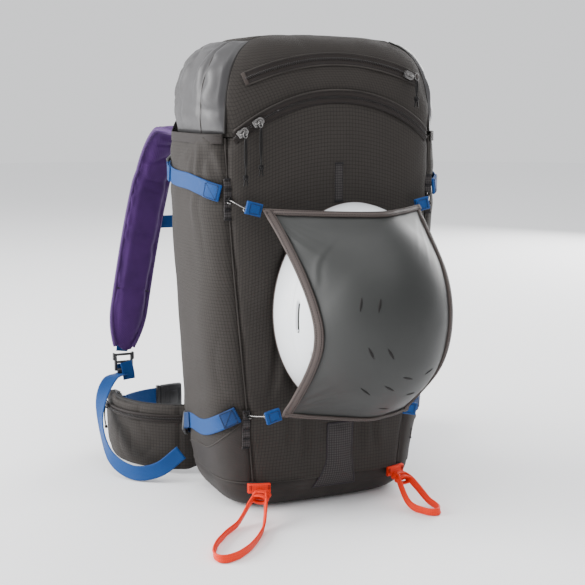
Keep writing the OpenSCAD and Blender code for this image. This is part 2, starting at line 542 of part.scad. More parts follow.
base_boot();
panel_node([seam_low, seam_top], [540 - seam_low, 540 - seam_top]);  // front_panel
panel_node([back_seam, back_seam], [seam_low, seam_top]);  // side_panel_left
panel_node([180 - seam_low, 180 - seam_top], [180 - back_seam, 180 - back_seam]);  // side_panel_right
panel_node([180 - back_seam, 180 - back_seam], [back_seam, back_seam]);  // back_panel
frame_sheet();
frame_stays();
back_pad();
lumbar_pad();
hydration_sleeve();
main_zip_tape();
axe_shaft_sleeve();
pick_pocket();
hook_daisies();
compression_upper(true);  // compression_strap_upper_left
compression_upper(false);  // compression_strap_upper_right
compression_lower(true);  // compression_strap_lower_left
compression_lower(false);  // compression_strap_lower_right
compression_buckles();
axe_loop_keepers();
anchor_webbing();  // harness_anchor_left
on_left(false) anchor_webbing();  // harness_anchor_right
helmet_shell();
helmet_liner();
carrier_lower_hooks();
lid_shell();
lid_gusset(true);  // lid_gusset_left
lid_gusset(false);  // lid_gusset_right
lid_zip_tape();
main_zip_slider_a();
main_zip_slider_b();
lid_zip_slider();
main_zip_pull_a();
main_zip_pull_b();
lid_zip_pull();
shoulder_strap();  // shoulder_strap_left
on_left(false) shoulder_strap();  // shoulder_strap_right
union() { strap_adjuster(); on_left(false) strap_adjuster(); }  // strap_adjusters
sternum_strap();
sternum_buckle();
hip_wing();  // hip_wing_left
on_left(false) hip_wing();  // hip_wing_right
hip_webbing();  // hip_webbing_left
on_left(false) hip_webbing();  // hip_webbing_right
hip_buckle_body(false);  // hip_buckle_female
on_left(false) hip_buckle_body(true);  // hip_buckle_male
carrier_panel();
carrier_corner_tabs();
carrier_upper_hooks();
axe_loop(-1, left_dir, loop_l, loop_w);  // axe_loop_left
axe_loop(1, right_dir, loop_short_l, loop_w*0.7);  // axe_loop_right
haul_loop();
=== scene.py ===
import math
import bpy
import numpy as np
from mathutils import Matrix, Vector


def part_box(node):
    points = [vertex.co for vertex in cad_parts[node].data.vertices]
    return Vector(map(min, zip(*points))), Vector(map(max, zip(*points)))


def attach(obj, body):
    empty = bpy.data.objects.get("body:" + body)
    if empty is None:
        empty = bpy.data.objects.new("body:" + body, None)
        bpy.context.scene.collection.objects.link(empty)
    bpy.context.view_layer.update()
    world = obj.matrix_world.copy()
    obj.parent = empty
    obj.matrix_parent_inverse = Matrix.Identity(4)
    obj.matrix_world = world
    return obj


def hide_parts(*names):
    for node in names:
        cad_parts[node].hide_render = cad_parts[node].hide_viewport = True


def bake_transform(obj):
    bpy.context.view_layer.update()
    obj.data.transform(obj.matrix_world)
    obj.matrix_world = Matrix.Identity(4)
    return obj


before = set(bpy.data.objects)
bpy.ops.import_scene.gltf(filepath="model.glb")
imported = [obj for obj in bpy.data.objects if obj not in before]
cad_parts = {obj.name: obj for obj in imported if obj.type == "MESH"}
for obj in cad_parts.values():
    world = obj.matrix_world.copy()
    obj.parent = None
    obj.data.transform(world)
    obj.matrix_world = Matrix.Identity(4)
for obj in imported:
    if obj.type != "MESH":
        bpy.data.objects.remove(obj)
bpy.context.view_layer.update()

MM = 0.001

# ---- the camera --------------------------------------------------------------------------------
CAMERA_AZIMUTH, CAMERA_ELEVATION = math.radians(-23.15), math.radians(9.29)
CAMERA_DISTANCE, CAMERA_LENS = 1.70, 73.5
AIM_RIGHT, AIM_UP = -0.0164, 0.2856


def make_camera():
    a, e = CAMERA_AZIMUTH, CAMERA_ELEVATION
    back = Vector((math.sin(a) * math.cos(e), -math.cos(a) * math.cos(e), math.sin(e)))
    aim = Vector((math.cos(a) * AIM_RIGHT, math.sin(a) * AIM_RIGHT, AIM_UP))
    data = bpy.data.cameras.new("camera")
    data.lens, data.sensor_width = CAMERA_LENS, 36
    camera = bpy.data.objects.new("camera", data)
    camera.location = aim + back * CAMERA_DISTANCE
    camera.rotation_mode = "QUATERNION"
    camera.rotation_quaternion = (-back).to_track_quat("-Z", "Y")
    bpy.context.scene.collection.objects.link(camera)
    bpy.context.scene.camera = camera


make_camera()

# ---- driving sizes, the same as the frame's, in millimetres ------------------------------------
BAG_H, BAG_W, BASE_W, BAG_D, BASE_D = 640, 332, 292, 214, 192
BASE_R, DOME_Z, DOME_N, FRONT_N, BACK_N = 46, 430, 4.5, 3.8, 5
BOOT_H, ZIP_Z, ZIP_RISE = 42, 508, 52
BACK_Y = BAG_D / 2 - 4
ZIP_HALF = BAG_W / 2 * 0.84
BACK_ZIP_Z = ZIP_Z + 32
# Angles of the seams round the outline: at the base, at the zip, and at the back.
SEAM_LOW, SEAM_TOP, BACK_SEAM = 236, 216, 135
RIGHT_LOW, RIGHT_TOP, RIGHT_BACK = -56, -36, 45
POCKET_HALF, POCKET_Z, POCKET_RISE = BAG_W / 2 * 0.74, BAG_H - 58, 26
HELMET = np.array([20.0, -BAG_D / 2 - 6, 281.0])
HELMET_AXES = np.array([114.0, 160.0, 142.0])


# ---- small number helpers ----------------------------------------------------------------------
def mix(a, b, s):
    return a + (b - a) * s


def smooth(s):
    s = np.clip(s, 0, 1)
    return s * s * (3 - 2 * s)


def power(v, e):
    return np.sign(v) * np.abs(v) ** e


def unit(v):
    return v / np.maximum(np.linalg.norm(v, axis=-1, keepdims=True), 1e-9)


def bump(d, width):
    """1 at d = 0, falling smoothly to 0 a few widths away."""
    return np.exp(-((d / width) ** 2))


def noise(p, scale, seed=0):
    """Smooth value noise between -1 and 1 at points p, whose features are about scale across."""
    q = np.asarray(p, float) / scale
    i = np.floor(q).astype(np.int64)
    f = q - i
    f = f * f * (3 - 2 * f)

    def corner(dx, dy, dz):
        n = (i[..., 0] + dx) * 374761393 + (i[..., 1] + dy) * 668265263
        n = (n + (i[..., 2] + dz) * 1103515245 + seed * 12345701) & 0xFFFFFFFF
        n = ((n ^ (n >> 13)) * 1274126177) & 0xFFFFFFFF
        return ((n ^ (n >> 16)) & 0xFFFF) / 32767.5 - 1

    x = [[mix(corner(0, y, z), corner(1, y, z), f[..., 0]) for y in (0, 1)] for z in (0, 1)]
    return mix(mix(x[0][0], x[0][1], f[..., 1]), mix(x[1][0], x[1][1], f[..., 1]), f[..., 2])


def creases(p, scale, seed=0, sharp=2.0):
    """Narrow valleys between soft folds, 0 to 1."""
    return (1 - np.abs(noise(p, scale, seed))) ** (4 * sharp)


def run_along(path):
    """Length along a path at each of its points."""
    return np.concatenate([[0], np.cumsum(np.linalg.norm(np.diff(path, axis=0), axis=1))])


def full_turn(count):
    """Evenly spaced angles round a circle, in radians."""
    return np.linspace(0, 2 * math.pi, count, endpoint=False)


def spline(points, count):
    """A smooth curve of count points through the given ones, evenly spaced."""
    p = np.asarray(points, float)
    p = np.vstack([2 * p[0] - p[1], p, 2 * p[-1] - p[-2]])
    out = []
    for i in range(1, len(p) - 2):
        t = np.linspace(0, 1, 24, endpoint=False)[:, None]
        a, b, c, d = p[i - 1], p[i], p[i + 1], p[i + 2]
        out.append(0.5 * (2 * b + (c - a) * t + (2 * a - 5 * b + 4 * c - d) * t**2
                          + (3 * b - a - 3 * c + d) * t**3))
    out = np.vstack(out + [p[-2:-1]])
    run = run_along(out)
    at = np.linspace(0, run[-1], count)
    return np.stack([np.interp(at, run, out[:, k]) for k in range(out.shape[1])], 1)


# ---- the bag's outline -------------------------------------------------------------------------
def dome(z):
    return np.clip(1 - (np.clip(z - DOME_Z, 0, None) / (BAG_H - DOME_Z)) ** DOME_N, 0, 1) ** (1 / DOME_N)


def base_in(z):
    k = np.clip(1 - np.clip(z, 0, None) / BASE_R, 0, 1)
    return BASE_R * (1 - np.sqrt(1 - k**2)) * 0.82


def half_w(z, inset=0):
    return (mix(BASE_W, BAG_W, smooth(z / DOME_Z)) / 2 - base_in(z)) * dome(z) - inset


def half_d(z, inset=0):
    return (mix(BASE_D, BAG_D, smooth(z / DOME_Z)) / 2 - base_in(z)) * dome(z) - inset


def mid_y(z):
    return BACK_Y - mix(BASE_D, BAG_D, smooth(z / DOME_Z)) / 2 - 6 * (1 - dome(z))


def skin_pt(a, z, inset=0):
    """The outline at angle a in degrees (0 is +X, 90 the back, 270 the front) and height z."""
    a, z = np.broadcast_arrays(np.radians(np.asarray(a, float)), np.asarray(z, float))
    n = np.where(np.sin(a) > 0, BACK_N, FRONT_N)
    x = half_w(z, inset) * power(np.cos(a), 2 / n)
    y = mid_y(z) + half_d(z, inset) * power(np.sin(a), 2 / n)
    return np.stack([x, y, z], -1)


def front_pt(x, z, inset=0):
    x, z = np.broadcast_arrays(np.asarray(x, float), np.asarray(z, float))
    k = np.clip(1 - np.abs(x / half_w(z, inset)) ** FRONT_N, 0, 1) ** (1 / FRONT_N)
    return np.stack([x, mid_y(z) - half_d(z, inset) * k, z], -1)


def arch(x, half, rise):
    r = (half**2 + rise**2) / (2 * rise)
    return np.where(np.abs(x) < half, np.sqrt(np.clip(r * r - x * x, 0, None)) - (r - rise), 0)


def zip_z(a):
    """Height of the main zip at angle a round the outline."""
    s, c = np.sin(np.radians(a)), np.cos(np.radians(a))
    front = ZIP_Z + arch(half_w(ZIP_Z) * power(c, 2 / FRONT_N), ZIP_HALF, ZIP_RISE)
    back = mix(ZIP_Z, BACK_ZIP_Z, smooth((s - 0.4) / 0.45))
    return np.where(s < 0, front, back)


# ---- materials ---------------------------------------------------------------------------------
def srgb(*c):
    """A linear colour from an 8-bit screen colour."""
    return tuple(((v / 255 + 0.055) / 1.055) ** 2.4 if v > 10 else v / 255 / 12.92 for v in c) + (1,)


class Nodes:
    """Builds one material's nodes: m.add(type, inputs...) returns the node."""

    def __init__(self, name):
        self.material = bpy.data.materials.new(name)
        self.material.use_nodes = True
        self.tree = self.material.node_tree
        self.shader = self.tree.nodes["Principled BSDF"]

    def add(self, kind, *inputs, out=0, **settings):
        node = self.tree.nodes.new("ShaderNode" + kind)
        for k, v in settings.items():
            setattr(node, k, v)
        for i, v in enumerate(inputs):
            if v is not None:
                self.put(v, node.inputs[i])
        return node.outputs[out]

    def put(self, value, socket):
        if isinstance(value, bpy.types.NodeSocket):
            self.tree.links.new(value, socket)
        else:
            socket.default_value = value

    def math(self, operation, *inputs):
        return self.add("Math", *inputs, operation=operation)

    def ramp(self, value, stops):
        node = self.tree.nodes.new("ShaderNodeValToRGB")
        self.put(value, node.inputs[0])
        elements = node.color_ramp.elements
        while len(elements) < len(stops):
            elements.new(0.5)
        for e, (at, colour) in zip(elements, stops):
            e.position = at
            e.color = colour if isinstance(colour, tuple) else (colour, colour, colour, 1)
        return node.outputs[0]

    def blend(self, share, a, b):
        node = self.tree.nodes.new("ShaderNodeMix")
        node.data_type = "RGBA"
        self.put(share, node.inputs[0])
        self.put(a, node.inputs[6])
        self.put(b, node.inputs[7])
        return node.outputs[2]

    def noise(self, coords, scale, detail=3.0, rough=0.55):
        node = self.tree.nodes.new("ShaderNodeTexNoise")
        self.put(coords, node.inputs["Vector"])
        node.inputs["Scale"].default_value = scale
        node.inputs["Detail"].default_value = detail
        node.inputs["Roughness"].default_value = rough
        return node.outputs[0]

    def finish(self, colour, rough, height=None, strength=0.4, distance=0.0006, metal=0.0, sheen=0.0,
               coat=0.0, shine=0.5):
        self.put(colour, self.shader.inputs["Base Color"])
        self.put(rough, self.shader.inputs["Roughness"])
        self.shader.inputs["Metallic"].default_value = metal
        self.shader.inputs["Sheen Weight"].default_value = sheen
        self.shader.inputs["Sheen Roughness"].default_value = 0.45
        self.shader.inputs["Specular IOR Level"].default_value = shine
        self.shader.inputs["Coat Weight"].default_value = coat
        if height is not None:
            node = self.tree.nodes.new("ShaderNodeBump")
            self.put(height, node.inputs["Height"])
            node.inputs["Strength"].default_value = strength
            node.inputs["Distance"].default_value = distance
            self.tree.links.new(node.outputs[0], self.shader.inputs["Normal"])
        return self.material


def grid_lines(m, uv, pitch, width):
    """1 on the lines of a square grid, 0 between them. Pitch and width are in metres."""
    u, v = (m.add("SeparateXYZ", uv, out=k) for k in (0, 1))
    lines = []
    for c in (u, v):
        saw = m.math("PINGPONG", c, pitch / 2)
        lines.append(m.math("LESS_THAN", saw, width / 2))
    return lines


def ripstop(name, base, line, pitch=0.0046, width=0.0011, sheen=0.02, rough=0.72):
    """Ripstop: a fine plain weave with thicker, darker yarns in a square grid."""
    m = Nodes(name)
    uv = m.add("UVMap", uv_map="cloth")
    across, up = grid_lines(m, uv, pitch, width)
    both = m.math("MAXIMUM", across, up)
    crossing = m.math("MULTIPLY", across, up)
    obj = m.add("TexCoord", out=3)
    patch = m.noise(obj, 14, 3)
    fine = m.noise(obj, 900, 2)
    tone = m.blend(m.ramp(patch, [(0.3, 0.0), (0.7, 1.0)]), base, tuple(c * 0.86 for c in base[:3]) + (1,))
    tone = m.blend(m.math("MULTIPLY", fine, 0.35), tone, line)
    share = m.math("ADD", m.math("MULTIPLY", both, 0.72), m.math("MULTIPLY", crossing, 0.2))
    colour = m.blend(share, tone, line)
    weave = m.add("TexWave", uv, 700.0, wave_type="BANDS", bands_direction="DIAGONAL", out=1)
    height = m.math("ADD", m.math("MULTIPLY", both, 0.8), m.math("MULTIPLY", weave, 0.25))
    return m.finish(colour, m.math("ADD", m.math("MULTIPLY", fine, 0.16), rough - 0.08), height, 0.5,
                    0.0005, sheen=sheen, shine=0.18)


def plain_cloth(name, base, deep, rough=0.6, sheen=0.03, scale=1400.0, strength=0.35, shine=0.2):
    """A tightly woven cloth with soft changes of tone."""
    m = Nodes(name)
    obj = m.add("TexCoord", out=3)
    patch = m.noise(obj, 18, 4)
    yarn = m.add("TexWave", obj, scale / 6.3, 1.2, wave_type="BANDS", bands_direction="DIAGONAL", out=1)
    fine = m.noise(obj, scale, 2)
    colour = m.blend(m.ramp(patch, [(0.3, 0.0), (0.75, 1.0)]), base, deep)
    colour = m.blend(m.math("MULTIPLY", fine, 0.25), colour, deep)
    height = m.math("ADD", m.math("MULTIPLY", yarn, 0.5), m.math("MULTIPLY", fine, 0.5))
    return m.finish(colour, m.math("ADD", m.math("MULTIPLY", patch, 0.15), rough - 0.06), height, strength,
                    0.0005, sheen=sheen, shine=shine)


def webbing_cloth(name, base, deep, rib=0.0016, rough=0.55):
    """Woven webbing: ribs along and across, with darker gaps and denser edges."""
    m = Nodes(name)
    uv = m.add("UVMap", uv_map="cloth")
    u, v = (m.add("SeparateXYZ", uv, out=k) for k in (0, 1))
    along = m.math("PINGPONG", u, rib / 2)
    slant = m.math("PINGPONG", m.math("ADD", v, m.math("MULTIPLY", along, 1.4)), rib * 0.6)
    ribs = m.math("DIVIDE", along, rib / 2)
    picks = m.math("DIVIDE", slant, rib * 0.6)
    height = m.math("ADD", m.math("MULTIPLY", ribs, 0.5), m.math("MULTIPLY", picks, 0.6))
    fine = m.noise(m.add("TexCoord", out=3), 60, 3)
    colour = m.blend(m.math("MULTIPLY", height, 0.75), deep, base)
    colour = m.blend(m.math("MULTIPLY", fine, 0.22), colour, deep)
    return m.finish(colour, rough, height, 0.75, 0.0005, sheen=0.02, shine=0.22)


def moulded(name, base, rough=0.42, grain=900.0, strength=0.12):
    """Moulded plastic with a fine spark-eroded grain."""
    m = Nodes(name)
    obj = m.add("TexCoord", out=3)
    fine = m.noise(obj, grain, 2)
    wear = m.noise(obj, 40, 4)
    colour = m.blend(m.math("MULTIPLY", wear, 0.25), base,
                     tuple(min(1, c * 1.6 + 0.01) for c in base[:3]) + (1,))
    return m.finish(colour, m.math("ADD", m.math("MULTIPLY", wear, 0.18), rough - 0.06), fine, strength,
                    0.0003)


def metal(name, base, rough=0.22):
    m = Nodes(name)
    obj = m.add("TexCoord", out=3)
    marks = m.noise(obj, 260, 4)
    return m.finish(base, m.math("ADD", m.math("MULTIPLY", marks, 0.22), rough - 0.06), marks, 0.08,
                    0.0002, metal=1.0)


BAG = ripstop("bag_ripstop", srgb(52, 48, 45), srgb(31, 28, 26), width=0.0009)
BOOT = plain_cloth("boot_cloth", srgb(45, 40, 38), srgb(32, 29, 27), rough=0.62)
GUSSET = plain_cloth("gusset_satin", srgb(60, 59, 60), srgb(46, 45, 46), rough=0.42, sheen=0.05,
                     scale=1800.0, strength=0.15, shine=0.4)
PIPING = plain_cloth("piping", srgb(30, 27, 26), srgb(16, 15, 14), rough=0.6)
SEAM = plain_cloth("seam_cord", srgb(56, 52, 49), srgb(36, 33, 31), rough=0.7)
BLUE = webbing_cloth("blue_webbing", srgb(0, 78, 146), srgb(0, 44, 98))
# A darker copy of the blue webbing: painted shade for the lower compression straps' folds and roots.
SHADED_BLUE = webbing_cloth("shaded_blue_webbing", srgb(0, 56, 112), srgb(0, 32, 72))
ORANGE = webbing_cloth("orange_cord", srgb(255, 58, 6), srgb(196, 30, 2), rib=0.0022)
PLASTIC = moulded("buckle_plastic", srgb(36, 36, 38))
METAL = metal("slider_metal", srgb(110, 108, 107))
CORD = webbing_cloth("pull_cord", srgb(28, 26, 26), srgb(10, 9, 9), rib=0.0009)
PURPLE = plain_cloth("pad_purple", srgb(72, 38, 98), srgb(52, 27, 74), rough=0.75, sheen=0.08, scale=1100.0)
BINDING = webbing_cloth("brown_binding", srgb(92, 82, 79), srgb(54, 47, 44), rib=0.0024)
DARK_BINDING = webbing_cloth("dark_binding", srgb(50, 44, 50), srgb(28, 25, 29), rib=0.0018)
PURPLE_BINDING = webbing_cloth("purple_binding", srgb(88, 56, 114), srgb(56, 32, 78), rib=0.0018)
ZIP_TAPE = webbing_cloth("zip_tape", srgb(44, 36, 32), srgb(20, 16, 15), rib=0.0014)
TEETH = moulded("zip_teeth", srgb(24, 19, 18), rough=0.35)
TRIM = ripstop("diamond_cloth", srgb(66, 62, 62), srgb(26, 24, 24), pitch=0.0034, width=0.0010, rough=0.6)
MESH_CLOTH = ripstop("spacer_mesh", srgb(52, 50, 54), srgb(16, 15, 17), pitch=0.0036, width=0.0016,
                     rough=0.85)
LINER = moulded("liner_foam", srgb(40, 40, 42), rough=0.9, grain=300.0, strength=0.4)
THREAD = plain_cloth("thread", srgb(30, 28, 30), srgb(18, 17, 18), rough=0.6)
PURPLE_THREAD = plain_cloth("purple_thread", srgb(100, 64, 128), srgb(78, 46, 104), rough=0.6)
SHEET_PLASTIC = moulded("sheet_plastic", srgb(226, 226, 220), rough=0.4)
STAY_METAL = metal("stay_metal", srgb(196, 198, 202), 0.34)
HELMET_WHITE = moulded("helmet_white", srgb(222, 226, 229), rough=0.28, grain=200.0, strength=0.02)


def carrier_sheet_material():
    """Satin brown-grey coated cloth with fine cross lines."""
    m = Nodes("carrier_sheet")
    uv = m.add("UVMap", uv_map="cloth")
    obj = m.add("TexCoord", out=3)
    lines = m.add("TexWave", uv, 210.0, 0.6, 2.0, wave_type="BANDS", bands_direction="Y", out=1)
    patch = m.noise(obj, 9, 4)
    fine = m.noise(obj, 1200, 2)
    colour = m.blend(m.ramp(patch, [(0.3, 0.0), (0.72, 1.0)]), srgb(42, 43, 42), srgb(34, 35, 34))
    colour = m.blend(m.math("MULTIPLY", lines, 0.10), colour, srgb(60, 61, 60))
    height = m.math("ADD", m.math("MULTIPLY", lines, 0.35), m.math("MULTIPLY", fine, 0.3))
    return m.finish(colour, m.math("ADD", m.math("MULTIPLY", patch, 0.12), 0.42), height, 0.2, 0.0004,
                    sheen=0.02, shine=0.3)


SHEET = carrier_sheet_material()


# ---- meshes ------------------------------------------------------------------------------------
def link(mesh, name, *materials):
    obj = bpy.data.objects.new(name, mesh)
    bpy.context.scene.collection.objects.link(obj)
    for m in materials:
        obj.data.materials.append(m)
    return obj


def make(name, points, faces, material, body=None, uv=None, kinds=None):
    """An object from points in millimetres. uv gives each point's place on its cloth in metres;
    material is one material or several, chosen by kinds for each face."""
    mesh = bpy.data.meshes.new(name)
    mesh.from_pydata((np.asarray(points, float) * MM).tolist(), [], [list(map(int, f)) for f in faces])
    mesh.update()
    if uv is not None:
        layer = mesh.uv_layers.new(name="cloth")
        loops = np.zeros(len(mesh.loops), np.int32)
        mesh.loops.foreach_get("vertex_index", loops)
        layer.data.foreach_set("uv", np.asarray(uv, np.float32)[loops].ravel())
    mesh.polygons.foreach_set("use_smooth", [True] * len(mesh.polygons))
    materials = material if isinstance(material, (list, tuple)) else [material]
    obj = link(mesh, name, *materials)
    if kinds is not None:
        mesh.polygons.foreach_set("material_index", np.asarray(kinds, np.int32))
    mesh.update()
    if body is not None:
        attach(obj, body)
    return obj


def join(parts):
    """Several (points, faces, uv) sets as one."""
    points, faces, uv, at = [], [], [], 0
    for p, f, t in parts:
        points.append(p)
        faces += [[i + at for i in one] for one in f]
        uv.append(t)
        at += len(p)
    return np.vstack(points), faces, np.vstack(uv)


def grid_uv(P):
    """Places on the cloth for a grid of points, measured along its middle row and columns."""
    rows, cols = P.shape[:2]
    along = np.linalg.norm(np.diff(P, axis=1), axis=2)
    u = np.concatenate([np.zeros((rows, 1)), np.cumsum(along, axis=1)], 1)
    u = u - u[:, cols // 2 : cols // 2 + 1]
    up = np.linalg.norm(np.diff(P, axis=0), axis=2).mean(1)
    v = np.concatenate([[0], np.cumsum(up)])[:, None] + np.zeros((1, cols))
    return np.stack([u, v], -1) * MM


def grid_normals(P):
    """Outward-facing for grids whose columns run anticlockwise seen from above and rows upward."""
    du = np.gradient(P, axis=1)
    dv = np.gradient(P, axis=0)
    return unit(np.cross(du, dv))


def shell(P, t, normals=None):
    """A closed skin: P outside and the same grid moved t inward."""
    rows, cols = P.shape[:2]
    n = grid_normals(P) if normals is None else normals
    Q = P - n * t
    points = np.vstack([P.reshape(-1, 3), Q.reshape(-1, 3)])
    at = lambda r, c, k: k * rows * cols + r * cols + c
    faces = []
    for r in range(rows - 1):
        for c in range(cols - 1):
            faces.append((at(r, c, 0), at(r, c + 1, 0), at(r + 1, c + 1, 0), at(r + 1, c, 0)))
            faces.append((at(r, c, 1), at(r + 1, c, 1), at(r + 1, c + 1, 1), at(r, c + 1, 1)))
    for c in range(cols - 1):
        faces.append((at(0, c, 0), at(0, c, 1), at(0, c + 1, 1), at(0, c + 1, 0)))
        faces.append((at(rows - 1, c, 0), at(rows - 1, c + 1, 0), at(rows - 1, c + 1, 1),
                      at(rows - 1, c, 1)))
    for r in range(rows - 1):
        faces.append((at(r, 0, 0), at(r + 1, 0, 0), at(r + 1, 0, 1), at(r, 0, 1)))
        faces.append((at(r, cols - 1, 0), at(r, cols - 1, 1), at(r + 1, cols - 1, 1),
                      at(r + 1, cols - 1, 0)))
    uv = grid_uv(P).reshape(-1, 2)
    return points, faces, np.vstack([uv, uv])


def frames(path, side=None):
    """Unit tangent, side and up directions along a path."""
    path = np.asarray(path, float)
    t = unit(np.gradient(path, axis=0))
    if side is None:
        out, s = [], np.cross(t[0], [0, 0, 1.0])
        if np.linalg.norm(s) < 0.2:
            s = np.cross(t[0], [1.0, 0, 0])
        for one in t:
            s = s - one * np.dot(s, one)
            s = s / max(np.linalg.norm(s), 1e-9)
            out.append(s.copy())
        s = np.array(out)
    else:
        s = np.broadcast_to(np.asarray(side, float), path.shape)
        s = unit(s - t * np.sum(s * t, axis=1, keepdims=True))
    return t, s, np.cross(s, t)


def ring_faces(rings, m, closed=False):
    """Faces between rings of m points each."""
    faces = []
    for i in range(rings if closed else rings - 1):
        j = (i + 1) % rings
        faces += [(i * m + k, i * m + (k + 1) % m, j * m + (k + 1) % m, j * m + k) for k in range(m)]
    return faces


def end_caps(rings, m):
    """The faces that close the first and last ring."""
    return [tuple(range(m - 1, -1, -1)), tuple((rings - 1) * m + k for k in range(m))]


def sweep(path, section, side=None, scale=None, closed=False):
    """A closed solid: section (pairs across, up) carried along a path. Scale is one pair per point."""
    path, section = np.asarray(path, float), np.asarray(section, float)
    if section.ndim == 2:
        section = np.broadcast_to(section, (len(path),) + section.shape)
    _, s, u = frames(path, side)
    if scale is not None:
        section = section * np.asarray(scale, float)[:, None, :]
    P = path[:, None] + s[:, None] * section[..., :1] + u[:, None] * section[..., 1:]
    rings, m = P.shape[:2]
    points = P.reshape(-1, 3)
    faces = ring_faces(rings, m, closed)
    if not closed:
        faces += end_caps(rings, m)
    run = run_along(path)
    step = np.linalg.norm(np.roll(section[0], -1, 0) - section[0], axis=1)
    round_ = np.concatenate([[0], np.cumsum(step)])[:m]
    uv = np.stack(np.broadcast_arrays(run[:, None], round_[None, :]), -1).reshape(-1, 2) * MM
    return points, faces, uv


def circle(r, count=10):
    a = full_turn(count)
    return np.stack([np.cos(a) * r, np.sin(a) * r], 1)


def tube(path, r, count=10, closed=False):
    return sweep(path, circle(r, count), closed=closed)


def band_section(w, t, lip=0.25):
    """Section of webbing: flat, a little thicker along its edges, with rounded corners."""
    h, e = w / 2, t / 2
    return np.array([(-h + e, -e - lip), (-h + 3 * e, -e), (h - 3 * e, -e), (h - e, -e - lip),
                     (h, -e * 0.4),
                     (h, e * 0.4), (h - e, e + lip), (h - 3 * e, e), (-h + 3 * e, e), (-h + e, e + lip),
                     (-h, e * 0.4), (-h, -e * 0.4)])


def ribbon(path, side, w, t=1.8):
    """Webbing whose width lies along side. UV runs along u and across v."""
    return sweep(path, band_section(w, t), side)


def stitches(path, pitch=3.2, length=2.0, r=0.35):
    """A row of separate thread stitches along a path."""
    path = np.asarray(path, float)
    run = run_along(path)
    parts = []
    for at in np.arange(pitch / 2, run[-1] - length / 2, pitch):
        s = np.array([at - length / 2, at, at + length / 2])
        p = np.stack([np.interp(s, run, path[:, k]) for k in range(3)], 1)
        parts.append(tube(p, r, 5))
    return join(parts)


def rounded_box(size, r, centre=(0, 0, 0), cuts=3):
    """A box with rounded edges, as points and faces, made by pushing a fine cube outward."""
    size, r = np.asarray(size, float) / 2, min(r, min(size) / 2 - 0.01)
    n = cuts + 2
    parts = []
    for axis in range(3):
        for sign in (-1, 1):
            a = np.linspace(-math.pi / 4, math.pi / 4, n)
            u, v = np.meshgrid(np.tan(a), np.tan(a))
            p = np.zeros((n, n, 3))
            p[..., axis] = sign
            p[..., (axis + 1) % 3], p[..., (axis + 2) % 3] = u, v
            core = size - r
            # The outer ring of samples wraps each rounded edge; the middle spans the flat.
            d = unit(p)
            at = np.sign(p) * core * (np.abs(p) > 0.34)
            at[..., axis] = sign * core[axis]
            q = at + d * r
            f = []
            for i in range(n - 1):
                for j in range(n - 1):
                    k = (i * n + j, i * n + j + 1, (i + 1) * n + j + 1, (i + 1) * n + j)
                    f.append(k if sign > 0 else k[::-1])
            parts.append((q.reshape(-1, 3) + np.asarray(centre, float), f, np.zeros((n * n, 2))))
    points, faces, uv = join(parts)
    _, first, where = np.unique(np.round(points, 4), axis=0, return_index=True, return_inverse=True)
    where = where.ravel()
    faces = [tuple(int(where[i]) for i in f) for f in faces]
    return points[first], [f for f in faces if len(set(f)) == 4], uv[first]


def shifted(part, by):
    p, f, uv = part
    return p + np.asarray(by, float), f, uv


def turned(part, x=0.0, y=0.0, z=0.0):
    """A part turned about the origin by degrees round x, then y, then z."""
    p, f, uv = part
    for angle, (i, j) in ((x, (1, 2)), (y, (2, 0)), (z, (0, 1))):
        c, s = math.cos(math.radians(angle)), math.sin(math.radians(angle))
        q = p.copy()
        q[:, i], q[:, j] = c * p[:, i] - s * p[:, j], s * p[:, i] + c * p[:, j]
        p = q
    return p, f, uv


def placed(part, origin, x_axis, y_axis, z_axis):
    """A part drawn in its own axes, put at origin with the given directions."""
    p, f, uv = part
    M = np.array([x_axis, y_axis, z_axis], float)
    return p @ M + np.asarray(origin, float), f, uv


def mirrored(part):
    p, f, uv = part
    return p * [-1, 1, 1], [tuple(reversed(one)) for one in f], uv


# Each side's name, with what makes its piece from the one drawn for the left.
SIDES = (("left", lambda part: part), ("right", mirrored))


def piece(name, part, material, body="pack", nodes=()):
    """Makes a part, rides it on its body and hides the CAD nodes it stands for."""
    obj = make(name, part[0], part[1], material, body, part[2])
    if nodes:
        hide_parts(*nodes)
    return obj


# ---- the bag -----------------------------------------------------------------------------------
CLOTH = 1.2
# Where webbing crosses the cloth and presses it in: the (angle, height) of its two ends.
PRESSED = [((212, 438), (152, 462)), ((222, 140), (158, 92)), ((-32, 438), (28, 462)),
           ((-42, 140), (22, 92))]
SEAM_ANGLES = ((SEAM_LOW, SEAM_TOP), (BACK_SEAM, BACK_SEAM), (RIGHT_LOW, RIGHT_TOP),
               (RIGHT_BACK, RIGHT_BACK))
SIDE_FILL = 9.0


def seam_angle(pair, z):
    return mix(pair[0], pair[1], np.clip(z / ZIP_Z, 0, 1))


def away(a, b):
    """Degrees between two angles."""
    return np.abs((a - b + 180) % 360 - 180)


def line_gap(P, A, B):
    """Distance of each point from the straight line between A and B, only beside its length."""
    d = B - A
    s = np.clip(np.sum((P - A) * d, -1) / np.dot(d, d), 0, 1)
    return np.linalg.norm(P - A - s[..., None] * d, axis=-1)


def side_fill(a, z):
    """How far the load pushes each side panel out between its seams."""
    out = np.zeros(np.broadcast(a, z).shape)
    for front, back in ((SEAM_ANGLES[0], BACK_SEAM), (SEAM_ANGLES[2], RIGHT_BACK)):
        seam = seam_angle(front, z)
        at = (np.asarray(a) + 180) % 360 - 180 if back == RIGHT_BACK else a
        share = np.clip((at - back) / (seam - back), 0, 1)
        out = out + SIDE_FILL * np.sin(np.pi * share ** 0.8) ** 0.8 * smooth((z - BOOT_H + 4) / 90)
    return out


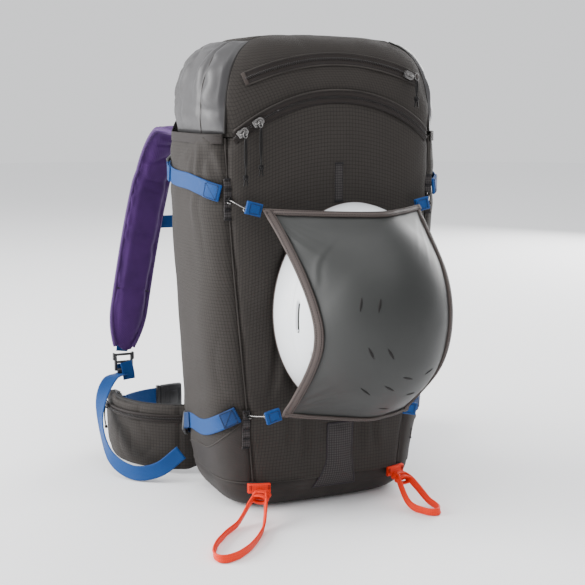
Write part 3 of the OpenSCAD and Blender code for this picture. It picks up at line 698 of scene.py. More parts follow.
def worked(P, a, z):
    """The stitched bag's surface from the plain outline: filled out between seams, pinched at them,
    pressed in under straps and softly folded."""
    n = grid_normals(P)
    out = 2.2 + np.zeros(P.shape[:2])
    for pair in SEAM_ANGLES:
        gap = np.radians(away(a, seam_angle(pair, z))) * 150
        out -= 3.2 * bump(gap, 8)
    for low, high in PRESSED:
        A, B = skin_pt(low[0], low[1]), skin_pt(high[0], high[1])
        gap = line_gap(P, A, B)
        out -= 3.4 * bump(gap, 13) - 1.4 * bump(gap - 26, 12)
    out -= 2.6 * bump(z - zip_z(a), 9)
    out += side_fill(a, z)
    out += 1.5 * noise(P, 95, 1) + 1.1 * noise(P, 38, 2)
    stretched = P * [1, 1, 0.22]
    out += 1.1 * noise(stretched, 26, 3) * smooth(1 - np.abs(z - 300) / 240)
    out -= 1.3 * creases(P + 16 * noise(P, 90, 5)[..., None], 105, 6) * smooth((z - 60) / 60)
    return P + n * out[..., None]


def pulled(P, out):
    """Folds that spread down the left side from the gusset, fading beside the compression straps."""
    A = skin_pt(196, 520)
    d = P - A
    r = np.linalg.norm(d, axis=-1)
    t = np.degrees(np.arctan2(d[..., 1], -d[..., 2] + 1e-6))
    fold = np.zeros(P.shape[:2])
    for at, deep, reach, wide in ((-34, 3.4, 105, 5), (-14, 2.6, 80, 4.5), (8, 3.6, 130, 5),
                                  (27, 2.6, 110, 5), (46, 3.0, 120, 6)):
        bent = at + 6 * np.sin(r / 46)
        gap = np.radians(t - bent) * np.maximum(r, 10)
        fold += deep * (bump(gap, wide * 1.5) - 0.75
                        * bump(gap - wide * 2.2, wide * 1.6)) * smooth(r / 24) * smooth(1.25 - r / reach)
    for low, high in PRESSED[:2]:
        fold = fold * (1 - bump(line_gap(P, skin_pt(*low), skin_pt(*high)), 22))
    return out + fold[..., None] * grid_normals(P)


def panel(name, low_angles, top_angles, cols, rows):
    """A side of the bag from the boot up to the zip."""
    s = np.linspace(0, 1, cols)[None, :]
    base = mix(low_angles[0], low_angles[1], s)
    top = mix(top_angles[0], top_angles[1], s)
    v = np.linspace(0, 1, rows)[:, None]
    a = mix(base, top, v)
    z = mix(BOOT_H, zip_z(a) + 0.5, v)
    a = mix(base, top, np.clip(z / ZIP_Z, 0, 1))
    P = worked(skin_pt(a, z), a, z)
    if name == "side_panel_left":
        P = pulled(skin_pt(a, z), P)
    if name == "front_panel":
        P = front_folds(P, z)
    part = shell(P, CLOTH)
    if name.startswith("side"):
        # Below a curved seam the lower front corner is cut from the boot's cloth.
        left = name.endswith("left")
        share = np.broadcast_to(s if left else 1 - s, a.shape)
        curve = 58 + 78 * share**1.7
        below = (z < curve)[:-1, :-1].repeat(2)
        kinds = np.zeros(len(part[1]), int)
        kinds[: len(below)] = below
        obj = make(name + "_cloth", part[0], part[1], [BAG, BOOT], "pack", part[2], kinds=kinds)
        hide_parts(name)
        row = np.argmin(np.abs(z - curve), axis=0)
        line = np.array([P[row[c], c] for c in range(cols)])
        line[:, 2] = curve[0]
        piece(name + "_lower_seam", tube(spline(line[1:-1:5], 90), 1.1, 8), SEAM)
    else:
        piece(name + "_cloth", part, BAG, "pack", (name,))


def front_folds(P, z):
    """Long soft upright folds in the lower front."""
    x = P[..., 0]
    n = grid_normals(P)
    out = 0
    for at, lean, deep, low, high in ((-62, 0.05, 2.2, 70, 240), (-34, -0.04, 2.6, 50, 200),
                                      (44, 0.03, 2.4, 60, 250),
                                      (70, -0.08, 2.0, 60, 210), (-92, 0.10, 2.6, 150, 420), (88, 0.06,
            2.0, 200, 420)):
        gap = x - at - lean * (z - low) - 2.5 * np.sin(z / 37.0 + at)
        out = out - 1.5 * deep * (bump(gap, 5) - 0.6
                                  * bump(gap - 11, 7)) * smooth((z - low) / 40) * smooth((high - z) / 60)
    return P + n * np.asarray(out)[..., None]


panel("front_panel", (SEAM_LOW, RIGHT_LOW + 360), (SEAM_TOP, RIGHT_TOP + 360), 90, 150)
panel("side_panel_left", (BACK_SEAM, SEAM_LOW), (BACK_SEAM, SEAM_TOP), 84, 150)
panel("side_panel_right", (RIGHT_LOW, RIGHT_BACK), (RIGHT_TOP, RIGHT_BACK), 70, 120)
panel("back_panel", (RIGHT_BACK, BACK_SEAM), (RIGHT_BACK, BACK_SEAM), 60, 110)


def boot():
    """The seamed cloth boot the bag stands in, closed underneath."""
    cols = 180
    a = np.linspace(0, 360, cols, endpoint=False)
    heights = np.concatenate([np.linspace(0.0, 10, 6), np.linspace(14, BOOT_H + 1.5, 9)])
    rings = []
    for z in heights:
        P = skin_pt(a, np.full(cols, z))
        c = P.mean(0)
        d = unit((P - c) * [1, 1, 0])
        out = 1.5 + 0.9 * noise(P, 46, 11) - 2.2 * bump(z - BOOT_H, 4)
        rings.append(P + d * np.asarray(out)[..., None] * smooth(z / 5))
    rings[0][:, 2] = 0.2
    floor = [rings[0] * [k, k, 1] + np.array([0, mid_y(0) * (1 - k), 0]) for k in (0.9, 0.6, 0.25)]
    P = np.array(floor[::-1] + rings)
    R = len(P)
    pts = P.reshape(-1, 3)
    faces = ring_faces(R, cols)
    inner = P[-1] * [0.985, 0.985, 1]
    pts = np.vstack([pts, inner, inner * [1, 1, 0.9] + [0, 0, -12]])
    for k in (0, 1):
        b = (R - 1 + k) * cols
        faces += [(b + c, b + (c + 1) % cols, b + cols + (c + 1) % cols, b + cols + c) for c in range(cols)]
    faces.append(tuple(range(cols - 1, -1, -1)))
    u = np.tile(a * 2.6, len(pts) // cols)
    uv = np.stack([u, pts[:, 2]], 1) * MM
    piece("base_boot_cloth", (pts, faces, uv), BOOT, "pack", ("base_boot",))
    rim = skin_pt(a, np.full(cols, BOOT_H + 0.4), -1.4)
    piece("boot_seam", tube(rim, 1.1, 8, closed=True), SEAM)


boot()


def seam_line(pair, z0, count=70, off=-0.4):
    z = np.linspace(z0, float(zip_z(np.array(pair[1] * 1.0))), count)
    a = seam_angle(pair, z)
    return skin_pt(a, z, off)


for number, pair in enumerate(SEAM_ANGLES):
    piece("side_seam_%d" % number, tube(seam_line(pair, BOOT_H), 1.15, 8), SEAM)


# ---- the lid -----------------------------------------------------------------------------------
LID_LIFT = 1.2
GUSSET_TOP = 6 / 8  # the share of the way up the lid that the gussets reach
GUSSET_SEAMS = (0.30, 0.66)
LID_CLOSE = 87.2


def lid_pt(a, s):
    phi0 = np.degrees(np.arcsin(((zip_z(a) + LID_LIFT - DOME_Z) / (BAG_H - DOME_Z)) ** (DOME_N / 2)))
    z = DOME_Z + (BAG_H - DOME_Z) * np.sin(np.radians(mix(phi0, LID_CLOSE, s))) ** (2 / DOME_N)
    return skin_pt(a, z)


def lid_surface(angles, shares, fold=1.0):
    a, s = np.meshgrid(angles, shares)
    P = lid_pt(a, s)
    n = grid_normals(P)
    edge = bump(s * 120, 10)
    out = 1.8 - 2.4 * edge + fold * (1.4 * noise(P, 80, 21) + 0.8 * noise(P, 30, 22))
    out = out - fold * 1.0 * creases(P + 14 * noise(P, 70, 23)[..., None], 85, 24) * smooth(s * 4)
    return P, n, out, a, s


def lid():
    """The top of the bag: a zipped cap with a pocket, wrapping over the gussets' upper edges."""
    front = np.linspace(SEAM_TOP, RIGHT_TOP + 360, 100)
    rest = np.linspace(RIGHT_TOP + 360, SEAM_TOP + 360, 150)[1:]
    P, n, out, A, S = lid_surface(np.concatenate([front, rest]), np.linspace(0, 1, 64))
    gusset = (away(A, 175.5) < 41) | (away(A, 4.5) < 41)
    side = np.where(away(A, 175.5) < 60, away(A, 175.5), away(A, 4.5))
    out = out - np.where(gusset, 2.4, 0) * smooth((GUSSET_TOP + 0.02 - S) * 30)
    out = out + 1.6 * bump((S - GUSSET_TOP) * 90, 7) * (side < 41)
    P = P + n * out[..., None]
    P[-1] = P[-1] * [0.4, 1, 1] + [0, 0, 0.3]
    piece("lid_cloth", shell(P, CLOTH, normals=n), BAG, "lid", ("lid_shell",))
    top = P[-1]
    pts = np.vstack([top, top.mean(0, keepdims=True)])
    faces = [(i, (i + 1) % len(top), len(top)) for i in range(len(top))]
    piece("lid_top_patch", (pts, faces, pts[:, :2] * MM), BAG, "lid", ())


def gusset(name, first, last, piping_side):
    """One lid gusset: three panels of satin cloth with folds, piped round the edge."""
    a = np.linspace(first, last, 90)
    s = np.linspace(0.01, GUSSET_TOP - 0.01, 60)
    P, n, _, A, S = lid_surface(a, s)
    u = (A - first) / (last - first)
    w = S / 0.74
    out = 3.4 + 7.5 * np.sin(np.pi * np.clip(u, 0, 1)) ** 0.8 * np.sin(np.pi
            * np.clip(w * 0.86 + 0.12, 0,
            1)) ** 0.9
    out += 2.4 * noise(P, 48, 31) + 1.2 * noise(P, 20, 32)
    out -= 2.6 * creases(P + 12 * noise(P, 40, 36)[..., None], 52, 37, 1.6)
    for seam in GUSSET_SEAMS:
        out -= 3.0 * bump((u - seam - 0.05 * w) * 200, 5)
        for k in range(5):
            at = 0.12 + 0.19 * k
            near = bump((u - seam) * 200 - 14, 12) + bump((u - seam) * 200 + 14, 12)
            out += 1.2 * np.sin((w - at) * 26 + 3 * noise(P, 30, 33 + k)) * near * 0.4
    out += 2.6 * noise(P * [1, 1, 0.35], 15, 41) * smooth(1 - np.abs(w - 0.35) * 2.2)
    edge = np.minimum(np.minimum(u, 1 - u) * 200, np.minimum(w, 1 - w) * 130)
    out = out * smooth(edge / 15) + 1.2
    P = P + n * out[..., None]
    piece(name + "_cloth", shell(P, 1.0, normals=n), GUSSET, "lid", (name,))
    front = P[:, piping_side]
    up = np.vstack([front, P[-1, ::(-1 if piping_side == -1 else 1)][1:]])
    piece(name + "_piping", tube(spline(up[::3], 150), 1.7, 8), PIPING, "lid")
    for k, seam in enumerate(GUSSET_SEAMS):
        i = np.clip(np.round((seam + 0.05 * w[:, 0]) * 89).astype(int), 0, 89)
        line = np.array([P[r, i[r]] for r in range(len(s))])
        piece("%s_seam_%d" % (name, k), tube(spline(line[::4], 60), 0.8, 6), SEAM, "lid")


lid()
gusset("lid_gusset_left", BACK_SEAM, SEAM_TOP, -1)
gusset("lid_gusset_right", RIGHT_TOP, RIGHT_BACK, 0)


# ---- zips --------------------------------------------------------------------------------------
def teeth(line, normals, pitch=2.6, width=3.6, height=1.5):
    """A coil zip's row of teeth along a line."""
    run = run_along(line)
    t = unit(np.gradient(line, axis=0))
    parts = []
    for at in np.arange(1, run[-1] - 1, pitch):
        p, n, d = (np.array([np.interp(at, run, v[:, k]) for k in range(3)]) for v in (line, normals, t))
        n, d = unit(n), unit(d)
        s = np.cross(d, n)
        slant = unit(d * 0.5 + s)
        w = width / 2
        path = [p - slant * w, p - slant * w * 0.6 + n * height * 0.7, p + n * height,
                p + slant * w * 0.6 + n * height * 0.7, p + slant * w]
        parts.append(tube(np.array(path), 0.62, 5))
    return join(parts)


def zips():
    x = np.linspace(-ZIP_HALF, ZIP_HALF, 130)
    z = ZIP_Z + arch(x, ZIP_HALF, ZIP_RISE)
    slope = np.gradient(z, x)
    up = unit(np.stack([-slope, np.zeros_like(x), np.ones_like(x)], 1))
    low = front_pt(x, z - 4.4, -2.2)
    n = unit(front_pt(x, z, -1) - front_pt(x, z, 0))
    piece("main_zip_lower_tape", ribbon(low, up, 7.2, 1.0), ZIP_TAPE, "pack", ("main_zip_tape",))
    high = front_pt(x, z + 4.6, -2.4)
    piece("main_zip_upper_tape", ribbon(high, up, 7.0, 1.0), ZIP_TAPE, "lid", ())
    mid = front_pt(x, z + 0.1, -2.6)
    piece("main_zip_teeth", teeth(mid, n), TEETH, "pack")
    piece("main_zip_lower_stitch", stitches(front_pt(x, z - 6.6, -2.9)), THREAD)
    piece("main_zip_upper_stitch", stitches(front_pt(x, z + 7.0, -3.1)), THREAD, "lid")
    lip = front_pt(x, z + 9.4, -2.6)
    piece("main_zip_lip", tube(lip, 1.3, 8), SEAM, "lid")
    # The zip carries on round both sides, hidden under the gussets' edges.
    for side, span in (("left", np.linspace(215, 138, 60)), ("right", np.linspace(-35, 42, 60))):
        line = skin_pt(span, zip_z(span) - 1.0, -2.4 - 0.75 * side_fill(span, zip_z(span)))
        piece("side_zip_%s" % side, ribbon(line, (0, 0, 1), 13.0, 1.2), ZIP_TAPE, "pack", ())
    x = np.linspace(-POCKET_HALF, POCKET_HALF, 110)
    z = POCKET_Z + arch(x, POCKET_HALF, POCKET_RISE)
    base = front_pt(x, z, 0)
    n = unit(front_pt(x, z, -1) - front_pt(x, z, 0) + 1e-9)
    t = unit(np.gradient(base, axis=0))
    over = front_pt(x, z + 4, 0) - front_pt(x, z - 4, 0)
    up = unit(over - t * np.sum(over * t, 1, keepdims=True))
    n = np.cross(t, up)
    piece("lid_zip_tape_cloth", ribbon(base + n * 3.0, up, 15.5, 1.0), ZIP_TAPE, "lid", ("lid_zip_tape",))
    piece("lid_zip_teeth", teeth(base + n * 3.4, n), TEETH, "lid")
    for k, off in enumerate((-6.2, 6.2)):
        piece("lid_zip_stitch_%d" % k, stitches(base + n * 3.7 + up * off), THREAD, "lid")
    for k, off in enumerate((-8.2, 8.2)):
        piece("lid_zip_edge_%d" % k, tube(base + n * 2.8 + up * off, 1.1, 8), SEAM, "lid")
    for k, (i, sign) in enumerate(((0, 1), (-1, -1))):
        end = base[i] + n[i] * 3.9
        bar = placed(rounded_box((5, 17, 1.4), 0.5), end, t[i] * sign, up[i], n[i] * sign)
        piece("lid_zip_end_%d" % k, bar, BINDING, "lid")


zips()


# ---- helmet and its carrier --------------------------------------------------------------------
CORNERS = np.array([[-86.0, 144.0], [98.0, 134.0], [112.0, 417.0], [-112.0, 419.0]])
SHEET_GAP, EDGE_IN, EDGE_IN_RIGHT = 2.5, 20, 4
SHEET_Y = HELMET[1] - 4
HOOK_DROP = (-5, -12, 11, 11)
TAB = 18


def helmet_rise(x, z):
    q = 1 - ((x - HELMET[0]) / (HELMET_AXES[0] + SHEET_GAP)) ** 2 - ((z - HELMET[2]) / (HELMET_AXES[2]
            + SHEET_GAP)) ** 2
    return (HELMET_AXES[1] + SHEET_GAP) * np.sqrt(np.clip(q, 0, None))


def tent(x, z, c):
    """Height of a straight line from corner c to the helmet, over each point."""
    dx, dz = x - c[0], z - c[1]
    length = np.sqrt(dx**2 + dz**2)
    high = np.zeros_like(x)
    for k in np.arange(1, 8.01, 0.05):
        rise = helmet_rise(c[0] + dx * k, c[1] + dz * k) / k
        high = np.maximum(high, np.where(k * length < 260, rise, 0))
    return np.where(length < 1, 0, high)


def relaxed(field, floor, rounds):
    """Evens out a height field without sinking below the floor, its edges held less firmly."""
    f = field.copy()
    for _ in range(rounds):
        g = np.pad(f, 1, mode="edge")
        f = np.maximum(floor, 0.5 * f + 0.125 * (g[:-2, 1:-1] + g[2:, 1:-1] + g[1:-1, :-2] + g[1:-1, 2:]))
    return f


def sheet_points(count=97):
    u, v = np.meshgrid(np.linspace(0, 1, count), np.linspace(0, 1, count))
    left = mix(CORNERS[0], CORNERS[3], v[..., None])
    right = mix(CORNERS[1], CORNERS[2], v[..., None])
    inset = EDGE_IN * np.sin(np.pi * v)
    x = mix(left[..., 0] + inset, right[..., 0] - inset * EDGE_IN_RIGHT / EDGE_IN, u)
    z = mix(left[..., 1], right[..., 1], u)
    z = z + np.where(v > 0.5, -1, 1) * 2 * np.sin(np.pi * u) * np.abs(2 * v - 1)
    rise = helmet_rise(x, z)
    high = rise.copy()
    for c in CORNERS:
        high = np.maximum(high, tent(x, z, c))
    high = relaxed(high, rise, 40)
    # Folds that run in from each corner, and a wavy crease at the upper left.
    for k, c in enumerate(CORNERS):
        d = np.hypot(x - c[0], z - c[1])
        t = np.degrees(np.arctan2(z - c[1], x - c[0]))
        aim = math.degrees(math.atan2(HELMET[2] - c[1], HELMET[0] - c[0]))
        gap = (t - aim + 180) % 360 - 180
        for at, deep in ((-20, 1.5), (-5, 1.9), (9, 1.5), (22, 1.2)):
            wave = np.radians(gap - at - 3 * np.sin(d / 17.0 + k)) * np.maximum(d, 6)
            high = high + deep * (bump(wave, 2.8) - 0.5
                                  * bump(wave - 5, 4)) * smooth(d / 14) * smooth((88 - d) / 60)
    crease = x + 62 - 0.55 * (z - 360) - 6 * np.sin((z - 300) / 13.0)
    high = high + 1.0 * (bump(crease, 2.4) - 0.6
                         * bump(crease - 5, 3)) * smooth((z - 318) / 20) * smooth((402 - z) / 25)
    P = np.stack([x, SHEET_Y - high - 0.6, z], -1)
    P[..., 1] -= 0.45 * noise(P, 28, 51)
    return P


def carrier():
    P = sheet_points()
    n = grid_normals(P)
    sheet = piece("carrier_sheet", shell(P, 1.1), SHEET, "carrier", ("carrier_panel",))
    # A folded binding all round, with two rows of stitching.
    for name, edge, inner, wide in (("left", P[:, 0], P[:, 12], 12.5),
                                    ("right", P[::-1, -1], P[::-1, -13], 10.5),
                                    ("top", P[-1], P[-13], 8.5), ("bottom", P[0, ::-1], P[12, ::-1], 8.5)):
        inward = unit(inner - edge)
        t = unit(np.gradient(edge, axis=0))
        up = unit(np.cross(t, inward))
        up = up * np.where(up[:, 1:2] > 0, -1, 1)
        rows = []
        for across, high in ((wide, 0.9), (wide - 0.8, 1.7), (wide * 0.5, 2.0), (0.6, 1.7), (-1.3, 0.3),
                             (0.6, -1.6), (wide * 0.5, -1.9), (wide - 0.8, -1.7), (wide, -1.2)):
            rows.append(edge + inward * across + up * high)
        ring = np.stack(rows, 1)
        m = ring.shape[1]
        faces = [(f[0], f[3], f[2], f[1]) for f in ring_faces(len(edge), m)]
        faces += [cap[::-1] for cap in end_caps(len(edge), m)]
        run = run_along(edge)
        across = np.array([wide, wide - 1, wide / 2, 1, 0, -1, -wide / 2, 1 - wide, -wide])
        uv = np.stack(np.broadcast_arrays(run[:, None], across[None, :]), -1).reshape(-1, 2) * MM
        piece("carrier_binding_" + name, (ring.reshape(-1, 3), faces, uv), BINDING, "carrier")
        for k, share in enumerate((0.22, 0.8)):
            piece("carrier_stitch_%s_%d" % (name, k),
                  stitches(edge + inward * wide * share + up * 1.95, 3.4, 2.1, 0.4), THREAD, "carrier")
    # Short vents in the lower half: how far across and up the sheet, and the slant in degrees.
    spots = ((0.26, 0.62, 88), (0.36, 0.62, 84), (0.30, 0.40, -64), (0.42, 0.40, -58), (0.34, 0.20, -48),
             (0.48, 0.22, -34), (0.60, 0.28, -14), (0.80, 0.30, 22), (0.70, 0.18, 4), (0.56, 0.10, -12))
    size = P.shape[0] - 1
    parts = []
    for u, v, turn in spots:
        i, j = int(v * size), int(u * size)
        p, m = P[i, j], n[i, j]
        m = m if m[1] < 0 else -m
        a = unit(P[i, j + 1] - P[i, j - 1])
        b = np.cross(m, a)
        d = a * math.cos(math.radians(turn)) + b * math.sin(math.radians(turn))
        line = []
        for s in np.linspace(-8.5, 8.5, 9):
            q = p + d * s
            k = np.unravel_index(np.argmin(np.sum((P - q) ** 2, -1)), P.shape[:2])
            near = P[k]
            line.append(q + m * (np.dot(near - q, m) + 0.35))
        taper = np.sin(np.linspace(0.22, math.pi - 0.22, 9))
        parts.append(sweep(np.array(line), circle(1.0, 8) * [1.7, 0.4], np.cross(m, d),
                           np.stack([taper, taper], 1)))
    piece("carrier_vents", join(parts), PIPING, "carrier")


def corner_side(k):
    return -1 if CORNERS[k][0] < 0 else 1


def hook_end(k):
    side = corner_side(k)
    x, z = CORNERS[k][0] + side * (TAB + 17), CORNERS[k][1] + HOOK_DROP[k]
    return front_pt(x, z, -4.4)


def corner_fittings(k):
    """A stitched webbing tab at a corner, with a wire hook on a cord and a ring."""
    side = corner_side(k)
    corner = ("lower_left", "lower_right", "upper_right", "upper_left")[k]
    body = "pack" if k < 2 else "carrier"
    c = np.array([CORNERS[k][0] + side * (TAB / 2 + 0.6), SHEET_Y - 2, CORNERS[k][1]])
    tilt = (-14, 12, -12, 15)[k]
    path = np.array([[s * 19 / 2, -1.6 + 0.6 * math.cos(s * 2), 0] for s in np.linspace(-1, 1, 12)])
    outer = ribbon(path, (0, 0, 1), 17, 1.8)
    under = ribbon(path + [0, 3.4, 0], (0, 0, 1), 17, 1.8)
    fold = ribbon(np.array([[side * 9.4 + side * 1.6 * math.sin(t), -1.2 + 1.7 * (1 - math.cos(t)), 0]
                            for t in np.linspace(0, math.pi, 9)]), (0, 0, 1), 17, 1.6)
    box = [(-7, -6), (7, -6), (7, 6), (-7, 6), (-7, -6)]
    line = np.array([[x, -2.9, z] for x, z in box])
    sewn = join([stitches(line[i:i + 2], 2.4, 1.6, 0.35) for i in range(4)])
    for name, part, material in (("tab", join([outer, under, fold]), BLUE), ("tab_stitch", sewn, THREAD)):
        part = shifted(turned(part, y=tilt), c)
        piece("corner_%s_%s" % (name, corner), part, material, body, ())
    start = np.array([CORNERS[k][0] + side * (TAB + 2), SHEET_Y - 0.5, CORNERS[k][1]])
    end = hook_end(k) + [0, 0.6, 0]
    d = unit(end - start)
    reach = np.linalg.norm(end - start)
    up = unit(np.cross(d, [0, 1.0, 0]))
    out = np.cross(up, d)
    hook = [start + d * 1, start + d * reach * 0.55 - out * 0.8, end - d * 4, end + d * 0.5 + up * 2.2,
            end - d * 2 + up * 4.2, end - d * 7 + up * 3.4]
    if out[1] > 0:
        out = -out
    wire = tube(spline(hook, 48), 0.95, 8)
    ring = [start + d * 0.5 + up * 3.4 * math.cos(t) + d * 3.4 * math.sin(t) for t in full_turn(28)]
    loop = tube(np.array(ring), 0.8, 8, closed=True)
    cord_ring = [end + up * 4.2 * math.cos(t) * 0.9 + out * 1.2 * math.sin(t) - d * 1
                 for t in full_turn(24)]
    return body, join([wire, loop]), tube(np.array(cord_ring), 1.1, 8, closed=True)


def fittings():
    groups = {"pack": [], "carrier": []}
    cords = []
    for k in range(4):
        body, wire, cord = corner_fittings(k)
        groups[body].append(wire)
        cords.append(cord)
    piece("carrier_lower_hook_wires", join(groups["pack"]), METAL, "pack", ("carrier_lower_hooks",))
    piece("carrier_upper_hook_wires", join(groups["carrier"]), METAL, "carrier",
          ("carrier_upper_hooks", "carrier_corner_tabs"))
    piece("hook_cord_rings", join(cords), CORD, "pack", ())
    # Daisy strips: folded tape with bar tacks that make small loops.
    parts, tacks = [], []
    for k in range(4):
        e = hook_end(k)
        z0 = e[2] - (46 if k < 2 else 26)
        z = np.linspace(z0, z0 + 52, 60)
        lift = -2.6 - 1.6 * np.abs(np.sin((z - z0) / 52 * math.pi * 4))
        line = front_pt(np.full(60, e[0]), z, 0) + np.stack([np.zeros(60), lift, np.zeros(60)], 1)
        parts.append(ribbon(line, (1, 0, 0), 10.5, 1.3))
        for at in np.linspace(0, 52, 5):
            tacks.append(shifted(rounded_box((10, 1.6, 2.4), 0.6), front_pt(e[0], z0 + at, -3.3)))
    piece("hook_daisy_tapes", join(parts), TRIM, "pack", ("hook_daisies",))
    piece("hook_daisy_tacks", join(tacks), THREAD, "pack")


# The helmet's vents: angle round the rim, angle up from it, half length and half width.
SLOTS = ((178, 22, 15, 2.0), (207, 30, 13, 2.0), (150, 30, 13, 2.0), (192, 50, 13, 2.2), (165, 50, 13, 2.2),
         (2, 22, 15, 2.0), (-27, 30, 13, 2.0), (30, 30, 13, 2.0),
         (110, 40, 16, 2.6), (74, 42, 16, 2.6), (256, 44, 16, 2.6), (286, 44, 16, 2.6))


def helmet():
    """A smooth white ski helmet with dark lined vents, a rim band and a foam liner."""
    cols, rows = 260, 150
    f = full_turn(cols)[None, :]
    t = np.linspace(0.0, 1, rows)[:, None] * math.pi / 2 * 0.995

    def surface(shrink=0.0):
        ax, ay, az = HELMET_AXES - shrink
        return np.stack(np.broadcast_arrays(HELMET[0] + ax * np.cos(f) * np.cos(t),
                                            HELMET[1] - ay * np.sin(t) + 0 * f,
                                            HELMET[2] + az * np.sin(f) * np.cos(t)), -1)

    P = surface(0.6)
    n = unit((P - HELMET) / HELMET_AXES**2)
    deep = np.zeros(P.shape[:2])
    F, T = np.broadcast_to(f, deep.shape), np.broadcast_to(t, deep.shape)
    for at, high, long, wide in SLOTS:
        c = math.radians(at), math.radians(high)
        a = (F - c[0] + math.pi) % (2 * math.pi) - math.pi
        x = a * 128 * math.cos(c[1])
        y = (T - c[1]) * 150
        d = (np.clip(np.abs(x) - long, 0, None) ** 2 + y**2) ** 0.5
        deep = np.maximum(deep, smooth((wide + 0.9 - d) / 1.4))
    groove = bump((T - 0.30) * 150, 1.6) * 1.1 + bump((T - 0.82) * 150, 1.6) * 0.8
    P = P - n * (deep * 4.2 + groove * (1 - deep))[..., None]
    at = lambda r, c: r * cols + c % cols
    faces, kinds = [], []
    for r in range(rows - 1):
        for c in range(cols):
            faces.append((at(r, c), at(r + 1, c), at(r + 1, c + 1), at(r, c + 1)))
            kinds.append(1 if deep[r, c] > 0.55 else 0)
    faces.append(tuple(at(rows - 1, c) for c in range(cols)))
    kinds.append(0)
    Q = surface(3.6)[:2]
    k = rows * cols
    for c in range(cols):
        faces.append((c, (c + 1) % cols, k + (c + 1) % cols, k + c))
        kinds.append(0)
    pts = np.vstack([P.reshape(-1, 3), Q[0]])
    obj = make("helmet_shell_body", pts, faces, [HELMET_WHITE, LINER], "pack", pts[:, :2] * MM, kinds=kinds)
    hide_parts("helmet_shell")
    inserts = []
    for turn, high, long, wide in SLOTS:
        c = math.radians(turn), math.radians(high)
        a = c[0] + np.linspace(-long - 0.5, long + 0.5, 18) / (128 * math.cos(c[1]))
        ax, ay, az = HELMET_AXES - 3.4
        q = np.stack([HELMET[0] + ax * np.cos(a) * math.cos(c[1]), HELMET[1] - ay * math.sin(c[1]) + 0 * a,
                      HELMET[2] + az * np.sin(a) * math.cos(c[1])], -1)
        flat = np.cross(unit(np.gradient(q, axis=0)), unit((q - HELMET) / HELMET_AXES**2))
        inserts.append(sweep(q, circle(1.0, 8) * [wide + 1.2, 0.8], flat))
    piece("helmet_vent_meshes", join(inserts), PIPING)
    rim = surface(1.2)[0] + [0, 0.4, 0]
    piece("helmet_rim", tube(rim, 1.6, 8, closed=True), BINDING)
    L = surface(4.6)
    I = surface(16.5)
    inner = I + 1.6 * (np.sin(f * 8)[..., None] * np.sin(t * 2)[..., None]) * unit((I - HELMET))
    pts = np.vstack([L.reshape(-1, 3), inner.reshape(-1, 3)])
    faces = [(at(r, c), at(r + 1, c), at(r + 1, c + 1), at(r, c + 1)) for r in range(rows - 1)
             for c in range(cols)]
    faces += [tuple(i + k for i in one[::-1]) for one in faces]
    faces += [(c, (c + 1) % cols, k + (c + 1) % cols, k + c) for c in range(cols)]
    faces += [tuple(at(rows - 1, c) for c in range(cols)),
              tuple(k + at(rows - 1, cols - 1 - c) for c in range(cols))]
    obj = make("helmet_liner_foam", pts, faces, LINER, "pack", pts[:, :2] * MM)
    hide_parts("helmet_liner")


helmet()
carrier()
fittings()


# ---- the front's small trims -------------------------------------------------------------------
def trims():
    z = np.linspace(424, 476, 30)
    line = front_pt(np.zeros(30), z, -1.8)
    part = ribbon(line, (1, 0, 0), 12, 2.2)
    piece("axe_shaft_sleeve_cloth", part, TRIM, "pack", ("axe_shaft_sleeve",))
    for k, x in enumerate((-4.6, 4.6)):
        piece("axe_sleeve_stitch_%d" % k, stitches(front_pt(np.full(30, x), z, -3.2)), THREAD)
    for k, high in enumerate((425.5, 474.5)):
        tack = shifted(rounded_box((13, 2.0, 2.4), 0.7), front_pt(0, high, -3.0))
        piece("axe_sleeve_tack_%d" % k, tack, THREAD)
    zs = np.linspace(BOOT_H - 14, 118, 46)
    flare = np.clip((70 - zs) / 45, 0, 1)
    left, right = -6 - 22 * flare**1.6, 32 + 6 * flare
    u = np.linspace(0, 1, 34)
    X = mix(left[:, None], right[:, None], u[None, :])
    Z = zs[:, None] + 0 * X
    swell = 2.6 + 3.2 * np.sin(np.pi * u)[None, :] * smooth((118.5 - Z) / 14) * smooth((Z - 26) / 20)
    P = front_pt(X, Z, 0)
    P = P - np.stack([0 * X, swell + 0.6 * noise(P, 16, 61), 0 * X], -1)
    piece("pick_pocket_cloth", shell(P, 1.4), TRIM, "pack", ("pick_pocket",))
    for k, edge in enumerate((P[:, 0], P[:, -1], P[-1], P[0])):
        piece("pick_pocket_edge_%d" % k, tube(edge + [0, 0.4, 0], 1.1, 8), DARK_BINDING)


trims()


# ---- shoulder harness --------------------------------------------------------------------------
STRAP_X, STRAP_OUT, STRAP_REACH = 84, 104, 178
STRAP_ROOT_Z, STRAP_TOP_Z, STRAP_END_Z = ZIP_Z - 22, ZIP_Z + 4, 158
BACK_PAD, STRAP_T, STRAP_GAP = 12, 10, 2.5
STRAP_Y0 = BACK_Y + BACK_PAD + STRAP_T / 2 + STRAP_GAP
STERNUM_Z = 352
WING_C, WING_R, WING_SWEEP, WING_T, WING_H = np.array([-104.0, BACK_Y + 130.0]), 112, 138, 22, 104
WING_Z = 4
BELT_Z = WING_Z + WING_H / 2 + 6
# Degrees round a wing where the webbing leaves it and where its buckle is, and the buckle's turn.
WEB_FROM, BUCKLE_AT, BUCKLE_SPIN = 131.4, 98.0, 8.0


def strap_line(s):
    down = np.clip((s - 0.2) / 0.8, 0, 1)
    crest = STRAP_ROOT_Z + (STRAP_TOP_Z - STRAP_ROOT_Z) * np.sin(np.pi * np.clip(s / 0.36, 0, 1))
    return np.stack([-STRAP_X - STRAP_OUT * s**0.8,
                     STRAP_Y0 + STRAP_REACH * np.sin(np.pi / 2 * np.clip(s / 0.42, 0, 1)) - 10 * down,
                     mix(crest, STRAP_END_Z, down**1.25)], -1)


